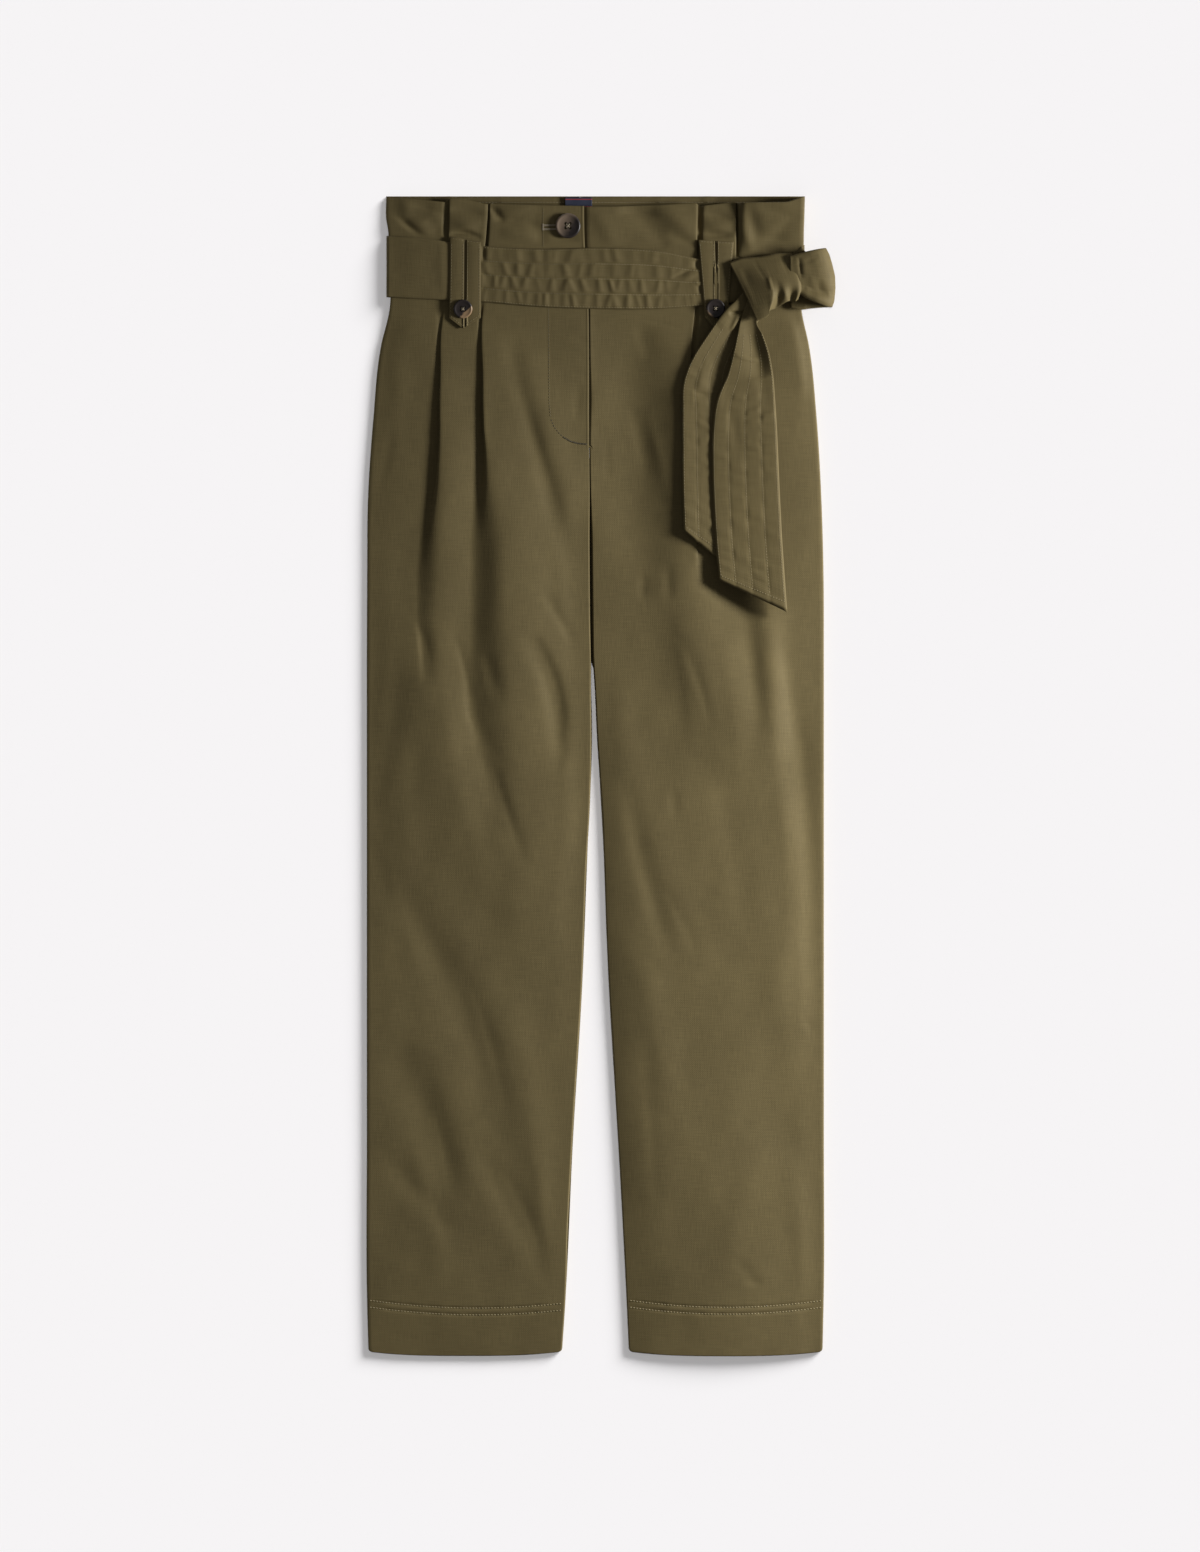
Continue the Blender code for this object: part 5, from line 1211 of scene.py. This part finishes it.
points = tailSheet(shortTail, restingHeight, shortTailFolds, tails["short"])
shortEnd = sashPiece("sashShortTail", points, "sash_tail_short")
points = tailSheet(longTail, aboveShortTail, longTailFolds, tails["long"])
longEnd = sashPiece("sashLongTail", points, "sash_tail_long")
print("tails laid")

# lines down the knot's wrap from its left edge to the loop's root, each from its upper edge to its lower one:
# the wrap spreads from the upper edge, and its right half gathers into three folds with hollows between
knotLines = np.array((
    ((116.4, 460.9, 15.2), (120.2, 453.2, 16.6), (124.6, 444.5, 18.2),
     (129.4, 434.8, 20.4), (136.1, 420.0, 22.2), (141.1, 408.7, 22.4)),
    ((125.7, 464.1, 15.8), (129.9, 455.0, 18.4), (134.4, 445.4, 20.8),
     (139.0, 434.6, 23.2), (143.7, 420.6, 24.4), (145.8, 410.3, 23.6)),
    ((134.7, 465.2, 16.4), (139.4, 455.2, 20.4), (143.8, 445.6, 23.4),
     (147.6, 435.4, 25.6), (150.3, 423.4, 26.0), (150.8, 413.0, 24.4)),
    ((142.3, 465.8, 17.0), (147.6, 455.6, 21.8), (151.9, 446.0, 25.2),
     (154.2, 437.0, 27.2), (154.8, 426.9, 27.2), (152.2, 417.2, 24.8)),
    ((145.2, 466.2, 17.2), (150.4, 455.8, 22.1), (154.6, 445.8, 25.5),
     (156.8, 436.4, 26.8), (157.2, 428.0, 24.4), (154.1, 418.6, 20.6)),
    ((149.2, 467.0, 17.4), (154.3, 456.2, 22.4), (158.4, 446.0, 25.9),
     (160.4, 436.6, 26.0), (160.4, 428.4, 21.0), (157.6, 420.0, 16.6)),
    ((156.9, 468.6, 17.6), (160.5, 456.8, 22.9), (163.2, 446.4, 26.3),
     (165.2, 438.4, 27.6), (166.6, 431.6, 26.4), (168.0, 426.0, 22.0)),
    ((164.5, 469.0, 17.6), (167.3, 457.2, 22.9), (169.9, 447.0, 26.3),
     (171.3, 439.6, 26.8), (172.0, 433.0, 23.0), (172.5, 426.6, 17.4)),
    ((171.4, 468.8, 17.2), (174.3, 458.4, 22.4), (176.6, 448.2, 25.8),
     (178.0, 440.4, 26.9), (177.5, 433.1, 25.6), (175.4, 426.2, 21.8)),
    ((174.4, 468.0, 16.2), (177.1, 458.4, 21.4), (179.3, 448.2, 24.2),
     (180.6, 440.0, 25.0), (180.4, 433.8, 24.2), (178.0, 428.0, 20.4))))
knotFolds = table("x0 y0 x1 y1 bow west east height", [
    (138.0, 465.0, 150.0, 444.0, -1.0, 1.2, 1.8, -0.2), (161, 469, 168.8, 450, 0, 1.2, 1.8, -0.2),
    (123, 458, 140, 420, 0, 1.6, 2.4, 0.25), (128, 456, 134, 440, 0, 3, 4, -0.3),
    (151, 448, 154, 436, 0, 1.6, 1.4, 0.7)])
knotWrap = {"factor": 8, "tuck": (0.0, 1.2, -2.0), "under": (0.3, 1.6, -4.6)}


def knotSheet():
    # the wrap that holds the bow: a fan of cloth, tucked in at its upper edge and turned under at its lower
    factor = knotWrap["factor"]
    tuck = knotLines[:, :1] + np.array(knotWrap["tuck"])
    under = knotLines[:, -1:] + np.array(knotWrap["under"])
    upper = refine(np.concatenate([tuck, knotLines[:, :1]], axis=1), factor)[:, :factor:2]
    lower = refine(np.concatenate([knotLines[:, -1:], under], axis=1), factor)[:, 2::2]
    points = np.concatenate([upper, refine(knotLines, factor), lower], axis=1)
    points[..., 2] += foldRelief(knotFolds, points[..., 0], points[..., 1], 0.5)
    return points


knot = sashPiece("sashKnot", knotSheet(), "sash_knot")

bowRows = table("x high low z dip", [
    (171.0, 466.3, 436.0, 21.6, 0.6), (178.0, 468.0, 434.3, 22.6, 0.8), (183.6, 469.2, 431.8, 23.4, 0.8),
    (190.0, 470.4, 428.4, 23.9, 0.5), (198.0, 471.8, 425.2, 23.9, 0.2), (204.5, 472.8, 422.8, 22.4, 0),
    (208.4, 473.4, 422.2, 19.6, 0), (210.0, 473.5, 422.2, 16.8, 0), (208.9, 472.5, 421.9, 14.0, 0),
    (204.5, 471.8, 421.6, 12.4, 0), (197.0, 471.0, 421.0, 12.0, 0), (190.4, 470.8, 420.4, 12.2, -3.0),
    (187.6, 471.8, 420.0, 12.6, -6.0), (185.0, 475.0, 419.6, 13.2, -7.5), (182.0, 475.2, 419.4, 13.2, -7.0),
    (177.6, 472.0, 419.6, 12.8, -5.0), (172.0, 469.0, 421.0, 12.0, -3.5)])
bowReach = table("share reach", [
    (0, .79), (.1, .86), (.25, .92), (.47, .99), (.68, 1.0), (.9, .975), (1.0, .93)])
bowFolds = table("x0 y0 x1 y1 bow west east height", [
    (178, 438.4, 208, 433, 1, 4.4, 6.5, -2.9), (196, 447, 199, 430, 0, 3, 5, -0.7),
    (176, 435.2, 209, 423.0, 0.6, 1.6, 1.8, 1.2), (184, 461, 196, 466, 0, 2.4, 3, -0.5),
    (178.6, 466, 181, 446, 0, 1.6, 2.2, -0.9)])
bowLoop = {"middle": 16.7, "dome": 1.2, "columns": 45, "perRow": 9, "seed": 41, "puff": 0.4, "rim": 0.5}


def bowSheet():
    # the loop of the bow: a strip bent back on itself, reach shortened towards its edges
    count = np.arange(len(bowRows["x"]), dtype=float)
    places = np.linspace(0.0, count[-1], bowLoop["perRow"] * (len(count) - 1) + 1)
    row = {key: through(count, values, places)[:, None] for key, values in bowRows.items()}
    share = np.linspace(0.0, 1.0, bowLoop["columns"])[None, :]
    reach = np.interp(share, bowReach["share"], bowReach["reach"])
    root = bowRows["x"][0]
    x = root + (row["x"] - root) * reach
    y = row["high"] + (row["low"] - row["high"]) * share
    above = smooth(0.0, 3.0, row["z"] - bowLoop["middle"])
    z = row["z"] + bowLoop["dome"] * np.sin(math.pi * share) * above - row["dip"] * smooth(0.4, 0.0, share)
    along = np.broadcast_to(lengthAlong(np.hstack([row["x"], row["z"]]))[:, None], x.shape)
    puffs = quilt(np.broadcast_to(share, x.shape), along, bowLoop["seed"], bowLoop["puff"])
    rim = bowLoop["rim"] * bothEdges(share)
    return grid(x, y, z + above * (foldRelief(bowFolds, x, y, 0.6) + puffs - 0.3 - rim))


bow = sashPiece("sashBow", bowSheet(), "sash_bow")
print("knot and bow made")

buttonLook = {"dark": "#120D0C", "brown": "#2A201D", "cloudSize": 0.004, "roughness": 0.42}
buttonCuts = {"profile": [(0.0, 0.04), (0.78, 0.0), (0.93, 0.03), (1.0, 0.1), (1.0, 0.16), (0.97, 0.215),
                          (0.91, 0.25), (0.85, 0.25), (0.78, 0.225), (0.7, 0.2), (0.5, 0.185), (0.0, 0.18)],
              "sides": 72, "hole": 0.115, "holeOffset": 0.25, "holeSides": 20, "middle": 0.13, "sharp": 40.0}
# how high the thread stands, how much higher the second way crosses, and how far apart its strands are
buttonSewing = {"rise": 0.075, "cross": 0.03, "apart": 0.2, "short": 0.3, "width": 0.42, "tall": 0.24}
# each button's pale patch: its turn, start and softness; the patch is partly the horn's streak and partly a
# painted highlight, wide over the waist button's face and kept small on the left button as painted shade
buttonPlaces = {
    "waistButton": {"node": "button_waist", "radius": 11.25, "x": -28.8, "y": 495.0, "lean": 0.0, "sink": 0.0,
                    "streakAndHighlightPatch": 150.0, "streakAndHighlightStart": -0.35, "streakAndHighlightSoft": 0.9, "paleStreakAndHighlight": "#6E5E4E"},
    "rightButton": {"node": "button_right", "radius": 8.5, "x": -123.3, "y": 420.3, "lean": 8.0, "sink": 1.9,
                    "streakAndHighlightPatch": 312.0, "streakAndHighlightStart": 0.42, "streakAndHighlightSoft": 0.12, "paleStreakAndHighlight": "#94795A"},
    "leftButton": {"node": "button_left", "radius": 8.5, "x": 104.0, "y": 420.8, "lean": 10.0, "sink": 1.4,
                   "streakAndHighlightPatch": 225.0, "streakAndHighlightStart": 0.74, "streakAndHighlightSoft": 0.2, "paleStreakAndHighlight": "#6E5940"},
}


def turnedMesh(name, profile, sides):
    # a profile turned round Z, closed at both ends by a flat face
    angles = np.linspace(0.0, 2.0 * math.pi, sides, endpoint=False)
    rings = [(r, z) for r, z in profile if r > 0.0]
    flat = np.concatenate([grid(r * np.cos(angles), r * np.sin(angles), z) for r, z in rings])
    faces = []
    top = (len(rings) - 1) * sides
    for low in range(0, top, sides):
        for step in range(sides):
            after = (step + 1) % sides
            faces.append((low + step, low + after, low + sides + after, low + sides + step))
    faces += [tuple(range(sides - 1, -1, -1)), tuple(range(top, top + sides))]
    mesh = bpy.data.meshes.new(name)
    mesh.from_pydata(flat.tolist(), [], faces)
    return mesh


def newObject(name, data):
    # an object of its own in the scene
    made = bpy.data.objects.new(name, data)
    bpy.context.scene.collection.objects.link(made)
    return made


def drilledDisc(name, radius):
    # a turned disc with a raised rim, less four drilled holes, in metres
    scaled = [(r * radius, z * radius) for r, z in buttonCuts["profile"]]
    disc = newObject(name, turnedMesh(name, scaled, buttonCuts["sides"]))
    hole = buttonCuts["hole"] * radius
    away = buttonCuts["holeOffset"] * radius
    drills = []
    for number in range(4):
        angle = math.radians(45.0 + 90.0 * number)
        mesh = turnedMesh("drill", [(hole, -radius), (hole, radius)], buttonCuts["holeSides"])
        drill = newObject("drill", mesh)
        drill.location = (away * math.cos(angle), away * math.sin(angle), 0.0)
        cut = disc.modifiers.new("hole", "BOOLEAN")
        cut.operation = "DIFFERENCE"
        cut.solver = "EXACT"
        cut.object = drill
        drills.append(drill)
    bpy.context.view_layer.update()
    mesh = bpy.data.meshes.new_from_object(disc.evaluated_get(bpy.context.evaluated_depsgraph_get()))
    for piece in drills + [disc]:
        bpy.data.objects.remove(piece)
    mesh.materials.clear()
    return mesh


def makeButton(name, shape):
    # a drilled disc, leaned about X and set where the frame holds it, and its thread
    radius = shape["radius"]
    mesh = drilledDisc(name, radius * mm)
    low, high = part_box(shape["node"])
    centre = np.array((low + high) * 0.5 - Vector((0.0, 0.0, shape["sink"] * mm)))
    lean = math.radians(shape["lean"])
    turn = np.array(((1, 0, 0), (0, math.cos(lean), math.sin(lean)), (0, -math.sin(lean), math.cos(lean))))
    points = placesOf(mesh) - (0.0, 0.0, buttonCuts["middle"] * radius * mm)
    mesh.vertices.foreach_set("co", (points @ turn + centre).ravel())
    material = polishedHorn(f"darkHornPolished_{name}", buttonLook, centre / mm, shape)
    newPiece(name, mesh, material, shape["node"])
    mesh.set_sharp_from_angle(angle=math.radians(buttonCuts["sharp"]))
    # two strands each way across the four holes
    starts, ends = [], []
    for way, cross in ((1.0, buttonSewing["cross"]), (-1.0, 0.0)):
        angle = math.radians(45.0) * way
        direction = np.array((math.cos(angle), math.sin(angle), 0.0))
        rise = np.array((0.0, 0.0, (buttonSewing["rise"] + cross) * radius))
        reach = direction * (buttonCuts["holeOffset"] * radius - buttonSewing["short"])
        for strand in (-buttonSewing["apart"], buttonSewing["apart"]):
            aside = np.array((-direction[1], direction[0], 0.0)) * strand
            starts.append(aside - reach + rise)
            ends.append(aside + reach + rise)
    starts, ends = [np.array(places) @ turn + centre / mm for places in (starts, ends)]
    normals = np.tile((0.0, 0.0, 1.0) @ turn, (len(starts), 1))
    threadMesh(name + "Thread", starts, ends, normals, thread["khaki"], buttonSewing["width"],
               buttonSewing["tall"])


for name, shape in buttonPlaces.items():
    makeButton(name, shape)
print("buttons turned")

tapeLook = {"ground": "#20263C", "line": "#8E2A33", "lines": (519.2, 512.6), "lineWidth": 0.9,
            "ribWidth": 0.0009}
tapeShape = {"left": -31.5, "right": -7.2, "high": 521.0, "low": 510.5, "wall": 1.0}


def tapeSheet():
    # flat inside the back waist, with slight waves: 0.08 * sin(x / 2.3) * cos(y / 3)
    x = np.linspace(tapeShape["left"], tapeShape["right"], 40)[None, :]
    y = np.linspace(tapeShape["high"], tapeShape["low"], 16)[:, None]
    z = garment["backFold"] + garment["seam"] + tapeShape["wall"] + 0.08 * np.sin(x / 2.3) * np.cos(y / 3.0)
    return grid(x, y, z)


tapeFinish = wovenTape("navyPolyesterTapeWoven", tapeLook)
tape = clothPiece("waistTape", tapeSheet(), tapeFinish, "waist_tape", 0.8)
print("tape laid")


def shareLine(points, share, first, last, step=3):
    # the line across a grid's columns at a share of its width, along its rows
    place = share * (points.shape[1] - 1)
    low = min(int(place), points.shape[1] - 2)
    column = points[:, low] + (points[:, low + 1] - points[:, low]) * (place - low)
    return [(p[0], p[1]) for p in column[first:last:step]]


frontTrees = surfaceOf(rightFront, leftFront)
hemLines = []
for leg, lines, sign in (("right", rightLines, 1.0), ("left", leftLines, -1.0)):
    outer, centre = [level(lines, name, -475.0) for name in ("outer", "centre")]
    places = np.linspace(outer + sign * 1.2, centre - sign * 1.2, 60)
    hemLines += [list(zip(places, hemRowY(places, leg, row))) for row in (0, 1)]
# the hem's rows use the pale copy of the thread, painted light
sew("hemStitches", hemLines, frontTrees, thread["paintedLightPaleOlive"], pitch=2.8, length=1.5, width=0.75, rise=0.42)
# the fly's rows and its bar tack use the darker copies of the thread: painted shade
sew("flyStitches", [flyStitch["line"][4:]], frontTrees, thread["paintedShadeOlive"])
sew("flyUpperStitches", [flyStitch["line"][:5], flyStitch["upper"]], frontTrees, thread["paintedShadeMutedOlive"])
tackRow("flyTack", flyStitch["tack"], 1.6, 1.0, frontTrees, thread["paintedShadeOlive"])
# the buttonhole's two sides and its end: line and how wide the stitches are
buttonhole = {"Upper": ([(-51.0, 495.6), (-38.5, 495.6)], 1.9),
              "Lower": ([(-51.0, 492.2), (-38.5, 492.2)], 1.9),
              "End": ([(-51.4, 496.8), (-51.4, 491.0)], 2.0)}
for name, (line, wide) in buttonhole.items():
    tackRow("buttonhole" + name, line, wide, 0.55, frontTrees, thread["khaki"])

# a row inside the back waist, on the back's inner side
waistSewing = {"from": -188.0, "to": 181.0, "pitch": 2.9, "length": 2.3, "y": 516.6, "z": 0.78}
places = np.arange(waistSewing["from"], waistSewing["to"], waistSewing["pitch"])
starts = grid(places, waistSewing["y"], waistSewing["z"]).copy()
for place, depth, width in zip(*backPleats.values()):
    starts[:, 2] += depth * np.exp(-((places - place) / width) ** 2)
ends = starts + (waistSewing["length"], 0.0, 0.0)
normals = np.tile((0.0, 0.0, 1.0), (len(starts), 1))
threadMesh("waistStitches", starts, ends, normals, thread["olive"], 0.5, 0.25)

sashTrees = surfaceOf(frontRun)
places = np.linspace(-105.5, 92.0, 90)
high, low = [through(sashEdges["x"], sashEdges[name], places) for name in ("high", "low")]
sashRows = [list(zip(places, high + (low - high) * share)) for share in (0.028, 0.265, 0.513, 0.763, 0.975)]
sashSewing = {"slot": "sash_cloth", "pitch": 2.6, "length": 1.3}
sew("sashEdgeStitches", [sashRows[0], sashRows[4]], sashTrees, thread["olive"], width=0.6, **sashSewing)
# on the sash's right half the middle rows use the pale copy of the thread, painted light, and on its left
# half the muted copy, painted shade
sew("sashPaintedLightStitches", [row[45:] for row in sashRows[1:4]], sashTrees, thread["paintedLightPaleOlive"],
    **{**sashSewing, "length": 1.2, "rise": 0.34})
sew("sashPaintedShadeStitches", [row[:46] for row in sashRows[1:4]], sashTrees, thread["paintedShadeMutedOlive"],
    width=0.5, **sashSewing)

# the carriers' rows: round the edge and the point, beside the slit and along the upper edge
for name, shape in carrierShapes.items():
    left, right = shape["top"]
    lowLeft, lowRight = shape["low"]
    middle = 0.5 * (left + right)
    lowMiddle = 0.5 * (lowLeft + lowRight)
    y0 = min(shape["corners"]) - 0.8
    y1 = shape["lowY"] + 0.6
    tipX, tipY = shape["tip"]
    high, low = shape["corners"]
    reach = shape["slitRows"]
    inside = carrierSewing["inside"]
    around = [(left + inside, y0), (lowLeft + inside, y1), (tipX, tipY + carrierSewing["tipInside"]),
              (lowRight - inside, y1), (right - inside, y0)]
    across = [(left + 1.0, high - 1.4), (middle, 0.4 * high + 0.6 * low - 1.3), (right - 1.0, low - 1.2)]
    beside = [[(middle + side, y0), (middle + (lowMiddle - middle) * reach + side, y0 + (y1 - y0) * reach)]
              for side in (-carrierSewing["slitAway"], carrierSewing["slitAway"])]
    sew(name + "Stitches", [around] + beside + [across], surfaceOf(carriers[name]), thread["olive"],
        width=0.42, rise=0.22)


def sheetLines(piece, columns, first, last):
    # rows of sewing along a grid piece, from one of its rows to another, and across its end
    points = placesOf(piece.data).reshape(-1, columns, 3) / mm
    rows = [shareLine(points, share, first, last) for share in (0.035, 0.25, 0.5, 0.75, 0.965)]
    end = points[-1, :, :2] + (points[-8, :, :2] - points[-1, :, :2]) * 0.28
    return rows + [[tuple(p) for p in end[1:-1]]]


for name, piece, columns, first in (("shortTail", shortEnd, tails["short"]["columns"], 40),
                                    ("longTail", longEnd, tails["long"]["columns"], 28)):
    sew(name + "Stitches", sheetLines(piece, columns, first, -2), surfaceOf(piece), thread["olive"],
        **sashSewing)
sew("bowStitches", sheetLines(bow, bowLoop["columns"], 12, 62)[:-1], surfaceOf(bow), thread["sand"],
    "sash_cloth", pitch=2.7, length=1.4, width=0.8, rise=0.45)
print("sewing done")

studio = {"frameHeight": 1396.8, "lens": 200.0, "sensor": 36.0, "floorSize": 6.0, "sky": 0.135,
          "boxPlace": (1.4, 0.38, 0.55), "boxAim": (0.1, -0.48, 0.0), "boxSize": (0.5, 0.3), "boxPower": 28.6,
          "boxSpread": 125.0,
          "paperTurn": 42.0, "paperHeight": 26.0, "paperPower": 4.045, "paperSoft": 30.0, "paperFill": 0.942}


def backdrop():
    # seamless paper, matt and nearly white
    material, tree, shader = newMaterial("paleBackdropPaper")
    place = addNode(tree, "TexCoord").outputs["Object"]
    grain = addNode(tree, "TexNoise", {"Vector": place, "Scale": 900.0})
    bump = addNode(tree, "Bump", {"Height": grain.outputs["Fac"], "Strength": 0.02, "Distance": 0.0002})
    feed(tree, shader, {"Base Color": hexColour("#F6F4F5"), "Normal": bump.outputs["Normal"],
                        "Roughness": 0.95, "Specular IOR Level": 0.1})
    mesh = bpy.data.meshes.new("floor")
    half = 0.5 * studio["floorSize"]
    corners = [(x * half, y * half, -0.0004) for x, y in ((-1, -1), (1, -1), (1, 1), (-1, 1))]
    mesh.from_pydata(corners, [], [(0, 1, 2, 3)])
    mesh.materials.append(material)
    piece = newObject("floor", mesh)
    piece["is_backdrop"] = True
    return piece


def addLight(name, kind, towards, place, floor, state):
    # a lamp that shines from towards onto the origin, on the floor only or on all but the floor
    light = bpy.data.lights.new(name, kind)
    lamp = newObject(name, light)
    lamp.location = place
    lamp.rotation_mode = "QUATERNION"
    lamp.rotation_quaternion = Vector(towards).to_track_quat("Z", "Y")
    lit = bpy.data.collections.new(name + "Lights")
    lit.objects.link(floor)
    lit.collection_objects[0].light_linking.link_state = state
    lamp.light_linking.receiver_collection = lit
    return light


def lighting(floor):
    # a softbox low beside the wearer's left leg, near enough for its light to fall off across the cloth;
    # the paper has an even light of its own from that side, and the sky fills both
    towards = Vector(studio["boxPlace"]) - Vector(studio["boxAim"])
    box = addLight("softbox", "AREA", towards, studio["boxPlace"], floor, "EXCLUDE")
    box.spread = math.radians(studio["boxSpread"])
    box.shape = "RECTANGLE"
    box.size, box.size_y = studio["boxSize"]
    box.energy = studio["boxPower"]
    turn = math.radians(studio["paperTurn"])
    tall = math.radians(studio["paperHeight"])
    towards = (math.cos(turn) * math.cos(tall), math.sin(turn) * math.cos(tall), math.sin(tall))
    paper = addLight("paperLight", "SUN", towards, (0.0, 0.0, 0.0), floor, "INCLUDE")
    paper.energy = studio["paperPower"]
    paper.angle = math.radians(studio["paperSoft"])
    # the bow and the knot cast no shadow on the paper
    casters = bpy.data.collections.new("paperCasters")
    for number, piece in enumerate((bow, knot)):
        casters.objects.link(piece)
        casters.collection_objects[number].light_linking.link_state = "EXCLUDE"
    bpy.data.objects["paperLight"].light_linking.blocker_collection = casters
    fill = addLight("paperFill", "SUN", (0.0, 0.0, 1.0), (0.0, 0.0, 0.0), floor, "INCLUDE")
    fill.energy = studio["paperFill"]
    world = bpy.data.worlds.new("studio")
    world.use_nodes = True
    sky = {"Color": (1.0, 1.0, 1.0, 1.0), "Strength": studio["sky"]}
    feed(world.node_tree, world.node_tree.nodes["Background"], sky)
    bpy.context.scene.world = world


def camera():
    # straight down from far above, so that the frame's height is as set at the cloth
    data = bpy.data.cameras.new("camera")
    data.lens = studio["lens"]
    data.sensor_width = studio["sensor"]
    data.clip_end = 40.0
    eye = newObject("camera", data)
    eye.location = (0.0, 0.0, (studio["frameHeight"] * studio["lens"] / studio["sensor"] + 6.0) * mm)
    bpy.context.scene.camera = eye


lighting(backdrop())
camera()
bpy.context.scene.view_settings.view_transform = "Standard"
bpy.context.scene.view_settings.look = "None"

low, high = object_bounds()
